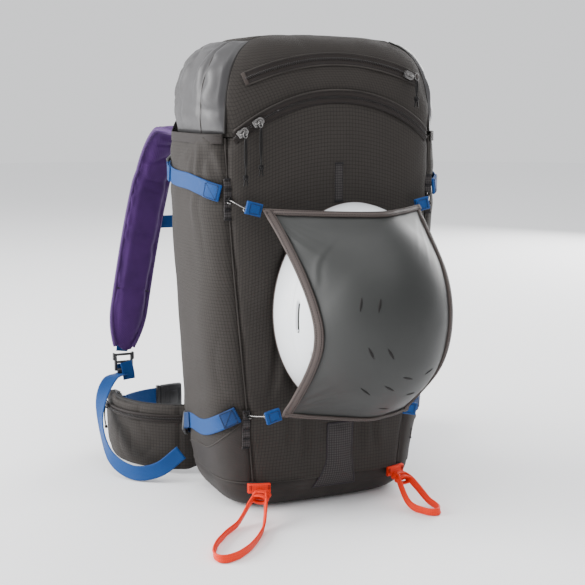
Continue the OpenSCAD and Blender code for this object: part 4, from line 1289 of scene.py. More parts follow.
def strap_half(s):
    end = mix(32.0, 14.0, (np.clip(s - 0.86, 0, None) / 0.14) ** 2)
    return np.where(s > 0.86, end, 32 * mix(0.86, 1, smooth(s / 0.15)))


PAD_VOXEL, PAD_PRESSURE, PAD_CAP, PAD_FRAMES = 5.5, 4.0, 5, 20


def evaluated(obj):
    """A new mesh of the object with its modifiers applied."""
    graph = bpy.context.evaluated_depsgraph_get()
    return bpy.data.meshes.new_from_object(obj.evaluated_get(graph))


def mesh_points(mesh):
    return np.array([v.co for v in mesh.vertices])


def inflate(part, name):
    """Fills a closed pad in a cloth simulation. Returns its points and faces in millimetres."""
    obj = make(name, part[0], part[1], PURPLE)
    remesh = obj.modifiers.new("remesh", "REMESH")
    remesh.mode, remesh.voxel_size = "VOXEL", PAD_VOXEL * MM
    mesh = evaluated(obj)
    obj.modifiers.clear()
    obj.data = mesh
    rest = mesh_points(mesh)
    cloth = obj.modifiers.new("cloth", "CLOTH")
    s = cloth.settings
    s.use_pressure, s.uniform_pressure_force = True, PAD_PRESSURE
    s.effector_weights.gravity = 0
    s.mass, s.quality = 0.3, 5
    s.tension_stiffness = s.compression_stiffness = 22
    s.bending_stiffness = 0.8
    cloth.collision_settings.use_collision = False
    scene = bpy.context.scene
    for k in range(1, PAD_FRAMES + 1):
        scene.frame_set(k)
    moved = mesh_points(evaluated(obj))
    obj.modifiers.clear()
    scene.frame_set(1)
    move = (moved - rest) / MM
    far = np.linalg.norm(move, axis=1, keepdims=True)
    rest = rest + move * np.minimum(1, PAD_CAP / np.maximum(far, 1e-9)) * MM
    for v, p in zip(mesh.vertices, rest):
        v.co = p
    fine = obj.modifiers.new("fine", "SUBSURF")
    fine.levels = 1
    out = evaluated(obj)
    points = mesh_points(out) / MM
    faces = [tuple(f.vertices) for f in out.polygons]
    bpy.data.objects.remove(obj)
    return points, faces


def strap_frame(count=120):
    s = np.linspace(0, 1, count)
    path = strap_line(s)
    t = unit(np.gradient(path, axis=0))
    lean = np.array([1, 0.16, 0])
    side = unit(lean - t * (t @ lean)[:, None])
    return s, path, side, np.cross(t, side)


def nearest(P, path):
    """For each point, the index of the nearest point of a path."""
    return np.argmin(((P[:, None] - path[None]) ** 2).sum(-1), axis=1)


def reach_edge(share, across, wanted, bins=60):
    """How much to widen a filled pad at each point so that its edges reach the binding again."""
    at = np.clip((share * bins).astype(int), 0, bins - 1)
    reach = np.array([np.abs(across[at == b]).max() if np.any(at == b) else np.nan for b in range(bins)])
    good = ~np.isnan(reach)
    middle = (np.arange(bins) + 0.5) / bins
    ratio = np.interp(middle, middle[good], reach[good])
    return wanted / np.interp(share, middle, ratio)


# Where the cross seams and the pairs of dart rows lie along a shoulder pad, as shares of its length.
PAD_SEAMS, PAD_DARTS = (0.13, 0.80), (0.30, 0.47, 0.64)


def shoulder_pads():
    s, path, side, up = strap_frame()
    thick = 4.0 * smooth(s / 0.05) * smooth((1 - s) / 0.03) + 1.0
    w = strap_half(s) - 1.2
    ring = np.array([(-1, -0.3), (-0.9, -0.75), (-0.5, -1), (0, -1.05), (0.5, -1), (0.9, -0.75), (1, -0.3),
                     (1, 0.3), (0.9, 0.75), (0.5, 1), (0, 1.05), (-0.5, 1), (-0.9, 0.75), (-1, 0.3)])
    part = sweep(path, ring, side, np.stack([w, thick], 1))
    points, faces = inflate(part, "pad_work")
    k = nearest(points, path)
    rel = points - path[k]
    across = np.sum(rel * side[k], 1)
    high = np.sum(rel * up[k], 1)
    w_here = w[k]
    wider = np.clip(reach_edge(k / (len(path) - 1), across, w_here - 0.4), 1, 1.3)
    points = points + side[k] * (across * (wider - 1))[:, None]
    across = across * wider
    # The quilted surface: pinched along the binding, at the cross seam, at the darts.
    edge = w_here - np.abs(across)
    pinch = 1.9 * bump(edge - 7, 3.2)
    run = run_along(path)
    at = run[k]
    for seam in PAD_SEAMS:
        pinch += 1.7 * bump(at - run[-1] * seam, 3.5)
    for dart in PAD_DARTS:
        for off in (-8, 8):
            pinch += 1.3 * bump(at - run[-1] * dart - off, 2.4) * smooth((16 - np.abs(across)) / 5)
    points = points - up[k] * (pinch * np.sign(high) * smooth(np.abs(high) / 3))[:, None]
    uv = np.stack([across, at], 1) * MM
    left = (points, faces, uv)
    for name, turn in SIDES:
        obj = piece("shoulder_pad_" + name, turn(left), PURPLE, "harness", ("shoulder_strap_" + name,))
        for sign in (-1, 1):
            e = path + side * (sign * (w - 1.6))[:, None]
            part = sweep(e[2:-2], circle(1, 12) * [3.4, 3.6], side[2:-2])
            piece("pad_binding_%s_%d" % (name, sign + 1), turn(part), PURPLE_BINDING, "harness")
            line = path + side * (sign * (w - 6.5))[:, None] + up * -3.9
            piece("pad_edge_stitch_%s_%d" % (name, sign + 1), turn(stitches(line[6:-6], 3.6, 2.3, 0.4)),
                  PURPLE_THREAD, "harness")
        marks = []
        for dart in PAD_DARTS:
            for off in (-8, 8):
                i = int(np.argmin(np.abs(run - run[-1] * dart - off)))
                for face in (-4.6, 4.6):
                    a, b = path[i] - side[i] * 13 + up[i] * face, path[i] + side[i] * 13 + up[i] * face
                    marks.append(stitches(np.array([a, b]), 3.4, 2.3, 0.45))
        piece("pad_dart_stitch_" + name, turn(join(marks)), PURPLE_THREAD, "harness")
        seam = []
        for share in PAD_SEAMS:
            i = int(np.argmin(np.abs(run - run[-1] * share)))
            for face in (-4.7, 4.7):
                reach = w[i] - 3
                seam.append(tube(np.array([path[i] + side[i] * x + up[i] * face
                                           for x in np.linspace(-reach, reach, 12)]), 0.8, 8))
        piece("pad_cross_seam_" + name, turn(join(seam)), DARK_BINDING, "harness")
        # Webbing sewn along the pad's upper face, from the cross seam to the adjuster.
        start = int(len(path) * 0.90)
        low = path[start:] - up[start:] * 6.2
        piece("pad_webbing_" + name, turn(ribbon(low, side[start:], 20, 1.6)), BLUE, "harness", ())


def ladder(w, h, t, slots):
    """A ladder buckle: a rounded frame with bars across it. Width along x, height along z."""
    parts = [rounded_box((4, t, h), 1.3, (x, 0, 0)) for x in (-w / 2 + 2, w / 2 - 2)]
    for z in np.linspace(-h / 2 + 2, h / 2 - 2, slots + 1):
        parts.append(rounded_box((w, t * 0.9, 3.6), 1.2, (0, 0, z)))
    return join(parts)


def adjusters():
    end = strap_line(np.array(1.0))
    body = ladder(30, 28, 6, 2)
    lugs = [rounded_box((3.4, 6.4, 12), 1.2, (x, 0.8, 9)) for x in (-15.5, 15.5)]
    tab = shifted(turned(rounded_box((22, 2.4, 9), 0.9), x=28), (0, -2.6, -15))
    one = shifted(join([body, tab] + lugs), [end[0], end[1], end[2] - 16])
    parts = join([one, mirrored(one)])
    piece("strap_adjuster_frames", parts, PLASTIC, "harness", ("strap_adjusters",))


def anchor_path():
    end = strap_line(np.array(1.0))
    return [[end[0], end[1], end[2] - 35], [-216, 268, 121], [-237, 242, 98], [-248, 205, 62],
            [-246, 158, 28],
            [-224, 118, 13], [-192, 94, 20], [-160, 82, 46]]


def anchors():
    p = spline(anchor_path(), 110)
    k = np.linspace(0, 1, len(p))
    sides = np.stack([mix(0.75, 0, smooth(k * 2)), mix(-0.1, 0.12, k), smooth(k * 1.6)], 1)
    part = ribbon(p, sides, 22, 1.8)
    up = frames(p, sides)[2]
    tail_path = spline([p[0] + [2, -7, 20], p[0] + [5, -9, 4], p[0] + [6, -10, -8]], 40)
    tail = ribbon(tail_path, (0.98, 0.1, 0), 20, 1.5)
    end = strap_line(np.array(1.0))
    for name, turn in SIDES:
        obj = piece("anchor_webbing_" + name, turn(part), BLUE, None, ("harness_anchor_" + name,))
        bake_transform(obj)
        piece("adjuster_tail_" + name, turn(tail), BLUE, "harness", ())
        loop = [end + [0, 2.2 * math.cos(a) + 0.5, -27 + 7 * math.sin(a)]
                for a in np.linspace(-math.pi / 2, math.pi / 2, 12)]
        piece("adjuster_loop_" + name, turn(ribbon(np.array(loop) + [0, 2, 0], (1, 0, 0), 20, 1.4)), BLUE,
              "harness", ())
        foot = stitches(p[-14:] + up[-14:] * 1.2, 2.6, 1.7, 0.35)
        piece("anchor_foot_stitch_" + name, turn(foot), THREAD, "pack")


def sternum():
    s = np.linspace(0, 1, 400)
    line = strap_line(s)
    i = int(np.argmin(np.abs(line[:, 2] - STERNUM_Z) + (s < 0.3) * 1e3))
    p = line[i]
    y, half = p[1] + 5 + 8, -p[0] + 8
    x = np.linspace(-half, half, 90)
    path = np.stack([x, y + 2.1 + 0 * x, STERNUM_Z + 10 + 0 * x], 1)
    left = path[x < -18]
    right = path[x > 20]
    strap = join([ribbon(left, (0, 0, 1), 20, 1.8), ribbon(right, (0, 0, 1), 20, 1.8)])
    piece("sternum_webbing", strap, BLUE, "sternum", ("sternum_strap",))
    parts = []
    for side in (-1, 1):
        c = np.array([side * (half - 8), y + 4.4, STERNUM_Z + 10])
        parts.append(shifted(turned(ladder(26, 20, 3.2, 2), y=90), c))
    piece("sternum_sliders", join(parts), PLASTIC, "sternum", ())
    c = np.array([0, y + 1.8 + 4.3, STERNUM_Z + 10])
    female = [rounded_box((30, 8, 26), 3, (-9, 0, 0)), rounded_box((12, 1.6, 14), 0.7, (-12, 4.1, 0)),
              rounded_box((8, 5, 22), 1.4, (-21, 0, 0))]
    male = [rounded_box((10, 5, 20), 1.6, (19, 0, 0)), rounded_box((12, 3.4, 4), 1, (12, 0, 8)),
            rounded_box((12, 3.4, 4), 1, (12, 0, -8)),
            rounded_box((5, 5, 22), 1.4, (22, 0, 0))]
    grip = [rounded_box((1.2, 8.8, 20), 0.5, (x, 0, 0)) for x in (2.5, -1, -4.5)]
    halves = shifted(join(female + male + grip), c)
    piece("sternum_buckle_halves", halves, PLASTIC, "sternum", ("sternum_buckle",))


shoulder_pads()
adjusters()
anchors()
sternum()


# ---- hip belt ----------------------------------------------------------------------------------
def wing_pt(a, r):
    a = np.radians(a)
    return WING_C[0] + r * np.cos(a), WING_C[1] + r * np.sin(a)


def wing_rings(grow):
    i = np.linspace(0, 1, 60)
    a = 270 - WING_SWEEP * i
    h = WING_H / 2 * np.where(i < 0.12, mix(0.8, 1, i / 0.12),
                              np.where(i < 0.7, 1, mix(1, 0.42, (np.clip(i - 0.7, 0, None) / 0.3) ** 1.6)))
    zc = WING_Z + WING_H / 2 + np.where(i > 0.7, 6 * (i - 0.7) / 0.3, 0)
    t = WING_T / 2 * np.where(i > 0.85, mix(1, 0.6, (i - 0.85) / 0.15), 1)
    return i, a, h + grow, zc, t + grow


def hip_wings():
    i, a, h, zc, t = wing_rings(-2.6)
    q = np.array([(-0.8, -0.8), (-0.3, -0.97), (0.3, -0.97), (0.8, -0.8), (1, -0.4), (1, 0.4), (0.8, 0.8),
                  (0.3, 0.97), (-0.3, 0.97), (-0.8, 0.8), (-1, 0.4), (-1, -0.4)])
    R = WING_R + t[:, None] * q[None, :, 0]
    x, y = wing_pt(a[:, None], R)
    z = zc[:, None] + h[:, None] * q[None, :, 1]
    P = np.stack([x, y, z], -1)
    m = P.shape[1]
    faces = ring_faces(len(a), m) + end_caps(len(a), m)
    points, faces = inflate((P.reshape(-1, 3), faces, None), "wing_work")
    d = points[:, :2] - WING_C
    r = np.linalg.norm(d, axis=1)
    ang = (np.degrees(np.arctan2(d[:, 1], d[:, 0])) + 360) % 360
    share = (270 - ang) / WING_SWEEP
    out = np.sign(r - WING_R) * smooth(np.abs(r - WING_R) / 5)
    z = points[:, 2]
    middle = np.interp(share, i, zc)
    high = np.interp(share, i, h)
    v = (z - middle) / high
    v = v * np.clip(reach_edge(np.clip(share, 0, 1), v, 1.0), 1, 1.3)
    points[:, 2] = middle + v * high
    pinch = 1.6 * bump((v - 0.62) * high, 3.0) + 1.2 * bump((v + 0.80) * high, 3.0)
    pinch += 1.4 * bump((share - 0.16) * 270, 4) + 1.2 * creases(points, 46, 71) * smooth(share * 6)
    pinch -= 1.0 * noise(points, 30, 72)
    shift = unit(np.concatenate([d, np.zeros((len(d), 1))], 1)) * (out * -pinch)[:, None]
    points = points + shift
    uv = np.stack([np.radians(ang) * WING_R, z], 1) * MM
    left = (points, faces, uv)
    arc = np.linspace(3, 126, 90)
    s = arc / WING_SWEEP

    def along(v, off):
        x, y = wing_pt(270 - arc, WING_R + off)
        return np.stack([x, y, np.interp(s, i, zc) + np.interp(s, i, h) * v], 1)

    for name, turn in SIDES:
        body = "wing_" + name
        obj = piece("hip_pad_" + name, turn(left), BAG, body, ("hip_wing_" + name,))
        for k, v in enumerate((1.0, -1.0)):
            piece("hip_piping_%s_%d" % (name, k), turn(tube(along(v, 0) - [0, 0, 2.6 * v], 3.2, 10)),
                  PIPING, body)
        line = along(0.62, -12.2)[10:70]
        piece("hip_zip_tape_" + name, turn(ribbon(line, (0, 0, 1), 11, 1.2)), ZIP_TAPE, body, ())
        n = unit(np.concatenate([WING_C - line[:, :2], np.zeros((len(line), 1))], 1))
        outer = along(0.62, 12.2)[10:70]
        m = unit(np.concatenate([outer[:, :2] - WING_C, np.zeros((len(outer), 1))], 1))
        piece("hip_zip_outer_" + name, turn(ribbon(outer, (0, 0, 1), 11, 1.2)), ZIP_TAPE, body, ())
        piece("hip_zip_teeth_" + name, turn(join([teeth(outer + m * 0.5, m), teeth(line + n * 0.5, n)])),
              TEETH, body)
        p = outer[-6] + m[-6] * 3.2
        bar = placed(rounded_box((10, 7, 3.4), 1.2), p, unit(outer[-5] - outer[-7]), (0, 0, 1), m[-6])
        piece("hip_zip_slider_" + name, turn(bar), METAL, body, ())
        cord = spline([p + m[-6] * 1.5, p + m[-6] * 3 + [0, 0, -8], p + m[-6] * 3 + [0, 0, -22],
                       p + m[-6] * 2 + [1, 0, -34]], 30)
        piece("hip_zip_pull_" + name, turn(join([tube(cord, 1.1, 8),
                                                 tube(cord[-4:] + [0, 0, -1], 2.2,
                                                      8)])), CORD, body, ())
        deg = np.linspace(WEB_FROM + 14, BUCKLE_AT, 50)
        x, y = wing_pt(deg, WING_R + np.where(deg > 132, 12.6 * smooth((deg - 131) / 5), 0))
        web = np.stack([x, y, np.full(50, BELT_Z)], 1)
        part = ribbon(web[deg < 131.6], (0, 0, 1), 36, 2.2)
        piece("hip_webbing_strip_" + name, turn(part), BLUE, body, ("hip_webbing_" + name,))
        patch = ribbon(web[deg > 131], (0, 0, 1), 35, 2.0)
        piece("hip_webbing_patch_" + name, turn(patch), BLUE, body, ())


def hip_buckles():
    x, y = wing_pt(BUCKLE_AT, WING_R)
    female = [rounded_box((40, 10, 44), 4, (27, 0, 0)), rounded_box((14, 2.0, 22), 0.9, (30, 5.2, 0)),
              rounded_box((14, 2.0, 22), 0.9, (30, -5.2, 0)),
              rounded_box((7, 7, 44), 2, (4, 0, 0)), rounded_box((4, 10.6, 30), 1.2, (42, 0, 0))]
    female += [rounded_box((1.4, 10.8, 34), 0.6, (z, 0, 0)) for z in (13, 16, 19)]
    male = [rounded_box((12, 9, 44), 3, (17, 0, 0)), rounded_box((6, 7, 44), 2, (4, 0, 0)),
            rounded_box((16, 5, 5), 1.6, (10, 0, 19)),
            rounded_box((16, 5, 5), 1.6, (10, 0, -19))]
    male += [rounded_box((27, 4, 6.4), 1.6, (36, 0, z)) for z in (-15, 0, 15)]
    male += [rounded_box((8, 5, 8), 2, (45, 0, z)) for z in (-16, 16)]
    for name, parts, node, body in (("female", female, "hip_buckle_female", "wing_left"),
                                    ("male", male, "hip_buckle_male", "wing_right")):
        q = shifted(turned(join(parts), z=BUCKLE_SPIN), [float(x), float(y), BELT_Z])
        if name == "male":
            q = mirrored(q)
        piece("hip_buckle_" + name + "_body", q, PLASTIC, body, (node,))


hip_wings()
hip_buckles()


# ---- webbing across the bag, buckles and loops -------------------------------------------------
def side_path(low, high, off, count=70):
    s = np.linspace(0, 1, count)
    a, z = mix(low[0], high[0], s), mix(low[1], high[1], s)
    return skin_pt(a, z, -off - side_fill(a, z))


def compression():
    for which, low, high, end, names in (
            ("upper", (212, 438), (152, 462), (148, 463), "compression_strap_upper_"),
            ("lower", (222, 140), (158, 92), (154, 90), "compression_strap_lower_")):
        path = side_path(low, high, 3)
        t = unit(np.gradient(path, axis=0))
        flat = unit(np.cross(t, [0, 0, 1.0]))
        up = unit(np.cross(flat, t))
        up = up * np.where(up[:, 2:] < 0, -1, 1)
        out = unit(np.cross(up, t))
        middle = path.mean(0) * [0, 1, 1]
        out = out * np.where(np.sum(out * (path - middle), 1, keepdims=True) < 0, -1, 1)
        strap = ribbon(path + out * 0.2, up, 22, 1.9)
        fold = path[:16] + out[:16] * 2.4
        keeper = [ribbon(fold, up[:16], 22, 1.8)]
        a = np.linspace(0, math.pi, 9)
        turn_back = np.array([path[0] + out[0] * (1.2 - 1.2 * math.cos(q)) - t[0] * 1.8 * math.sin(q)
                              for q in a])
        keeper.append(ribbon(turn_back, np.repeat(up[:1], 9, 0), 22, 1.7))
        tail = path[-22:] + out[-22:] * np.linspace(2.2, 3.6, 22)[:, None]
        keeper.append(ribbon(tail, up[-22:], 22, 1.7))
        sewn = []
        for at in (1, 14):
            p = path[at] + out[at] * 3.6
            sewn.append(stitches(np.array([p - up[at] * 9.5, p + up[at] * 9.5]), 2.6, 1.8, 0.4))
        for v in (-9.5, 9.5):
            sewn.append(stitches(path[1:15] + out[1:15] * 3.6 + up[1:15] * v, 2.6, 1.8, 0.4))
        for k in (0, 1):
            sewn.append(stitches(np.array([path[1] + out[1] * 3.6 + up[1] * (9.5 - 19 * k),
                                           path[14] + out[14] * 3.6 - up[14] * (9.5 - 19
                    * k)]), 2.6, 1.8, 0.4))
        e = skin_pt(end[0], end[1], -5.5 - float(side_fill(np.array(end[0] * 1.0), np.array(end[1] * 1.0))))
        n = unit(out[-1])
        d = unit(t[-1])
        w = np.cross(n, d)
        w = w if w[2] > 0 else -w
        if which == "upper":
            buckle = placed(turned(ladder(32, 19, 5, 2), y=90), e, d, -n, w)
            reach = (3, 12, 21)
        else:
            parts = [rounded_box((20, 6, 30), 2.2, (-4, 0, 0)), rounded_box((8, 5, 30), 1.8, (9, 0, 0)),
                     rounded_box((12, 1.4, 12), 0.6, (-4, 3.2, 0)), rounded_box((12, 4.4, 3.4), 1.2,
                             (2, 0, 14.5)),
                     rounded_box((12, 4.4, 3.4), 1.2, (2, 0, -14.5)), rounded_box((3, 6.6, 26), 1,
                             (-12, 0, 0))]
            buckle = placed(join(parts), e, d, -n, w)
            reach = (6, 14, 22)
        line = np.array([e + d * far - n * deep for far, deep in zip(reach, (1, 4, 7))])
        root = [ribbon(line, np.repeat(w[None], 3, 0), 22, 1.9)]
        for side, turn in SIDES:
            # The lower straps' folds and roots take the darker copy of the blue webbing as painted shade.
            colour = BLUE if which == "upper" else SHADED_BLUE
            piece("compression_%s_%s" % (which, side), turn(strap), BLUE, "pack", (names + side,))
            piece("compression_fold_%s_%s" % (which, side), turn(join(keeper + root)), colour, "pack", ())
            piece("compression_stitch_%s_%s" % (which, side), turn(join(sewn)), THREAD)
            nodes = ("compression_buckles",) if which == "upper" else ()
            piece("compression_buckle_%s_%s" % (which, side), turn(buckle), PLASTIC, "pack", nodes)


compression()

KEEPER_X, KEEPER_Z, CORD_W = 104, 36, 11
KEEPER_Y = float(front_pt(KEEPER_X, KEEPER_Z, -6.5)[1])
LOOP_W = 54


def tool_loop(side_x, direction, length, width):
    """The path of one ice axe loop: down from its keeper and out along the ground."""
    d = unit(np.array(direction, float))
    across = np.array([-d[1], d[0], 0])
    s = np.linspace(0, 1, 140)
    along = length * (0.5 - 0.5 * np.cos(2 * np.pi * s))
    bow = np.sin(np.pi * s)
    out = -width / 2 * np.sin(2 * np.pi * s) * (0.25 + 0.75 * bow) + np.where(s < 0.5, -3, 3) * (1 - bow)
    start = np.array([side_x * KEEPER_X, KEEPER_Y - 10, 0])
    z = mix(KEEPER_Z - 4, CORD_W * 0.47, smooth(along / 60))
    return start + d * along[:, None] + across * out[:, None] + np.stack([0 * z, 0 * z, z], 1), d, across


def tool_loops():
    for name, sx, direction, length, width in (("left", -1, (-0.62, -0.78, 0), 172, LOOP_W),
                                               ("right", 1, (0.1, -1, 0), 92, LOOP_W * 0.7)):
        path, d, across = tool_loop(sx, direction, length, width)
        lift = 0.8 * np.abs(noise(path, 22, 81))
        p = path + np.stack([0 * lift, 0 * lift, lift + 0.4], 1)
        lean = unit(np.array([0, 0, 1.0]) + across * 0.25
                    * np.sin(np.linspace(0, 3 * math.pi, len(p)))[:, None])
        cord = sweep(p, band_section(10.4, 2.6, 0.45), frames(p, lean)[1])
        body = "loop_" + name
        piece("tool_loop_cord_" + name, cord, ORANGE, body, ("axe_loop_" + name,))
        # Girth hitch: the cord wraps its own two legs just under the keeper.
        top = (p[3] + p[-4]) / 2
        wraps = []
        for k in range(2):
            c = top + d * (2 + 9.5 * k) + [0, 0, -1.5 - 2.5 * k]
            ring = [c + across * 11.0 * math.cos(a) + np.array([0, 0, 1.0]) * 5.2 * math.sin(a) + d * 1.4
                    * math.sin(a + k) for a in full_turn(40)]
            wraps.append(sweep(np.array(ring), band_section(8.6, 2.2, 0.4), np.tile(d, (40, 1)),
                               closed=True))
        piece("tool_loop_hitch_" + name, join(wraps), ORANGE, body, ())
        c = np.array([sx * KEEPER_X, KEEPER_Y - 1, KEEPER_Z])
        x = np.linspace(-14.5, 14.5, 26)
        face = front_pt(x + c[0], np.full(26, c[2]), -6.6)
        keeper = ribbon(face, (0, 0, 1), 13, 2.4)
        under = ribbon(front_pt(x + c[0], np.full(26, c[2]), -3.8), (0, 0, 1), 13, 2.2)
        tacks = [stitches(front_pt(np.array([v + c[0]] * 3), np.linspace(c[2] - 5.5, c[2] + 5.5, 3), -8.0),
                          2.2, 1.6, 0.45) for v in (-13, -11, 11, 13)]
        nodes = ("axe_loop_keepers",) if name == "left" else ()
        piece("tool_loop_keeper_" + name, join([keeper, under]), ORANGE, "pack", nodes)
        piece("tool_loop_tacks_" + name, join(tacks), THREAD)


tool_loops()


def slider(x, z0, half, rise, off, deeper, name, body, node):
    """A cast zip slider: two plates joined by a wedge, with side rails and a bridge for its cord's wire
    loop.
    """
    def at(u, o):
        return front_pt(np.array(float(u)), z0 + arch(np.array(float(u)), half, rise), -o)

    p, q = at(x, off - deeper), at(x + 4, off - deeper)
    along = unit(q - p)
    n = unit(at(x, off + 5) - at(x, off))
    side = unit(np.cross(n, along))
    n = np.cross(along, side)
    n = n if n[1] < 0 else -n
    s = np.linspace(-1, 1, 15)
    plate = np.stack([5.0 * np.sqrt(np.clip(1 - (np.clip(s - 0.1, 0, None) / 0.95) ** 2.4, 0.02, 1))
                      * mix(0.78, 1, smooth((s + 1) / 0.8)), np.full(15, 0.75)], 1)
    section = np.array([(-1, -1), (-0.9, -1), (0.9, -1), (1, -1), (1, 0.4), (0.86, 1), (-0.86, 1),
                        (-1, 0.4)])
    line = np.stack([s * 7.5, 0 * s, 0 * s], 1)
    top = sweep(line + [0, 0, 1.5], section, (0, 1, 0), plate)
    low = sweep(line + [0, 0, -1.5], section, (0, 1, 0), plate)
    wedge = rounded_box((5, 3.2, 3.0), 0.8, (4, 0, 0))
    rails = [rounded_box((11, 1.1, 2.2), 0.5, (-0.5, y, 0)) for y in (-4.6, 4.6)]
    bridge = [(-5.2, 0, 2.0), (-4.4, 0, 3.5), (-2.0, 0, 4.4), (2.0, 0, 4.4), (4.4, 0, 3.5), (5.2, 0, 2.0)]
    b = sweep(spline(bridge, 24), circle(1.0, 8) * [1.5, 0.7], (0, 1, 0))
    part = placed(join([top, low, wedge, b] + rails), p, along, side, n)
    piece(name, part, METAL, body, (node,))


def pull(x, z0, half, rise, off, length, name, body, node):
    """A doubled cord through a slider's wire loop, ending in a knot with two short tails."""
    top = front_pt(np.array(float(x)), z0 + arch(np.array(float(x)), half, rise), -off) + [0, 0, -2]
    ring = [top + [0, -0.2, 1.5] + np.array([2.6 * math.cos(a), 0.3 * math.sin(a),
                                             4.4 * math.sin(a) - 1.5]) for a in full_turn(28)]
    piece(name + "_loop", tube(np.array(ring), 0.75, 8, closed=True), METAL, body, ())
    z = np.linspace(0, 1, 40)
    parts = []
    for k in (-1, 1):
        sway = 0.5 * np.sin(z * 9 + k)
        path = top + np.stack([k * 1.35 * np.sin(np.pi * np.clip(z * 1.3, 0, 1)) ** 0.6 + sway * 0.3,
                               0.25 * np.sin(z * 7 + k), -4 - z * (length - 13)], 1)
        parts.append(tube(path, 1.05, 8))
    over = top + np.array([[1.35 * math.cos(a), 0.2, -4 + 1.5 * math.sin(a)]
                           for a in np.linspace(0, math.pi, 10)])
    parts.append(tube(over, 1.05, 8))
    c = top + [0, 0, -length + 7]
    knot = [c + np.array([2.3 * math.cos(a) * (1 + 0.15 * math.sin(2 * a)), 1.6 * math.sin(a),
                          2.2 * math.sin(2 * a + 0.6)]) for a in full_turn(48)]
    parts.append(tube(np.array(knot), 1.35, 8, closed=True))
    parts.append(tube(np.array([c + [-1.6, 0, 3.2], c, c + [1.4, 0, -3.0]]), 1.5, 8))
    for k in (-1, 1):
        tail = spline([c + [k * 0.8, 0, -2], c + [k * 1.8, -0.2, -6], c + [k * 2.4, 0, -10.5]], 14)
        parts.append(tube(tail, 1.0, 8))
    piece(name, join(parts), CORD, body, (node,))


MAIN_ZIP, LID_ZIP = (ZIP_Z, ZIP_HALF, ZIP_RISE), (POCKET_Z, POCKET_HALF, POCKET_RISE)
SLIDER_A_X, SLIDER_B_X, LID_SLIDER_X = -111.44, -130.44, POCKET_HALF - 16
slider(SLIDER_A_X, *MAIN_ZIP, 5.6, 0.4, "main_slider_a_body", "main_slider_a", "main_zip_slider_a")
slider(SLIDER_B_X, *MAIN_ZIP, 5.6, 0.4, "main_slider_b_body", "main_slider_b", "main_zip_slider_b")
slider(LID_SLIDER_X, *LID_ZIP, 7.4, 0.0, "lid_slider_body", "lid_slider", "lid_zip_slider")
pull(SLIDER_A_X, *MAIN_ZIP, 12.6, 62, "main_pull_a_cord", "pull_a", "main_zip_pull_a")
pull(SLIDER_B_X, *MAIN_ZIP, 12.6, 62, "main_pull_b_cord", "pull_b", "main_zip_pull_b")
pull(LID_SLIDER_X, *LID_ZIP, 27.4, 36, "lid_pull_cord", "pull_lid", "lid_zip_pull")


# ---- back panel, sleeve, sheet and stays -------------------------------------------------------
def slab(w, h, t, r, y, z, cols=70, rows=110, shape=None):
    """A rounded padded panel on the bag's back: w wide, h high, t thick, its back face shaped."""
    u = np.linspace(-1, 1, cols)[None, :]
    v = np.linspace(0, 1, rows)[:, None]
    Z = z + v * h + 0 * u
    corner = np.clip(r - np.minimum(v * h, h - v * h), 0, r)
    half = w / 2 - (r - np.sqrt(np.clip(r**2 - corner**2, 0, None)))
    X = u * half
    edge = np.minimum(np.minimum(half - np.abs(X), v * h + 0 * u), h - v * h + 0 * u)
    T = t * (1 - (1 - np.clip(edge / (t * 0.9), 0, 1)) ** 2.4) ** 0.5 * 0.96 + 0.3
    if shape is not None:
        T = T - shape(X, Z) * smooth(edge / 8)
    P = np.stack([X, y + T, Z], -1)
    Q = np.stack([X, y + 0.1 + 0 * T, Z], -1)
    n_ = rows * cols
    at = lambda r_, c, k: k * n_ + r_ * cols + c
    faces = []
    for i in range(rows - 1):
        for j in range(cols - 1):
            faces.append((at(i, j, 0), at(i + 1, j, 0), at(i + 1, j + 1, 0), at(i, j + 1, 0)))
            faces.append((at(i, j, 1), at(i, j + 1, 1), at(i + 1, j + 1, 1), at(i + 1, j, 1)))
    ring = [(0, j) for j in range(cols - 1)]
    ring += [(i, cols - 1) for i in range(rows - 1)]
    ring += [(rows - 1, j) for j in range(cols - 1, 0, -1)]
    ring += [(i, 0) for i in range(rows - 1, 0, -1)]
    for k in range(len(ring)):
        a, b = ring[k], ring[(k + 1) % len(ring)]
        faces.append((at(a[0], a[1], 0), at(b[0], b[1], 0), at(b[0], b[1], 1), at(a[0], a[1], 1)))
    pts = np.vstack([P.reshape(-1, 3), Q.reshape(-1, 3)])
    return (pts, faces, pts[:, [0, 2]] * MM), P


def back_shape(X, Z):
    z0, h = 128, ZIP_Z - 128 - 12
    out = 4.2 * smooth((15 - np.abs(X)) / 5)
    for v in (0.3, 0.62):
        c = z0 + h * v + 7
        out = np.maximum(out, 4.2 * smooth((9.5 - np.abs(Z - c)) / 4))
    pods = 0.9 * np.sin(X / 13.0) ** 2 * np.sin(Z / 17.0) ** 2
    return out + pods + 0.35


def rim_path(P, y):
    """A slab's edge, as a closed path at the given depth."""
    ring = np.vstack([P[0, ::2], P[1:-1:2, -1], P[-1, ::-2], P[-2:0:-2, 0]])
    ring[:, 1] = y
    return ring


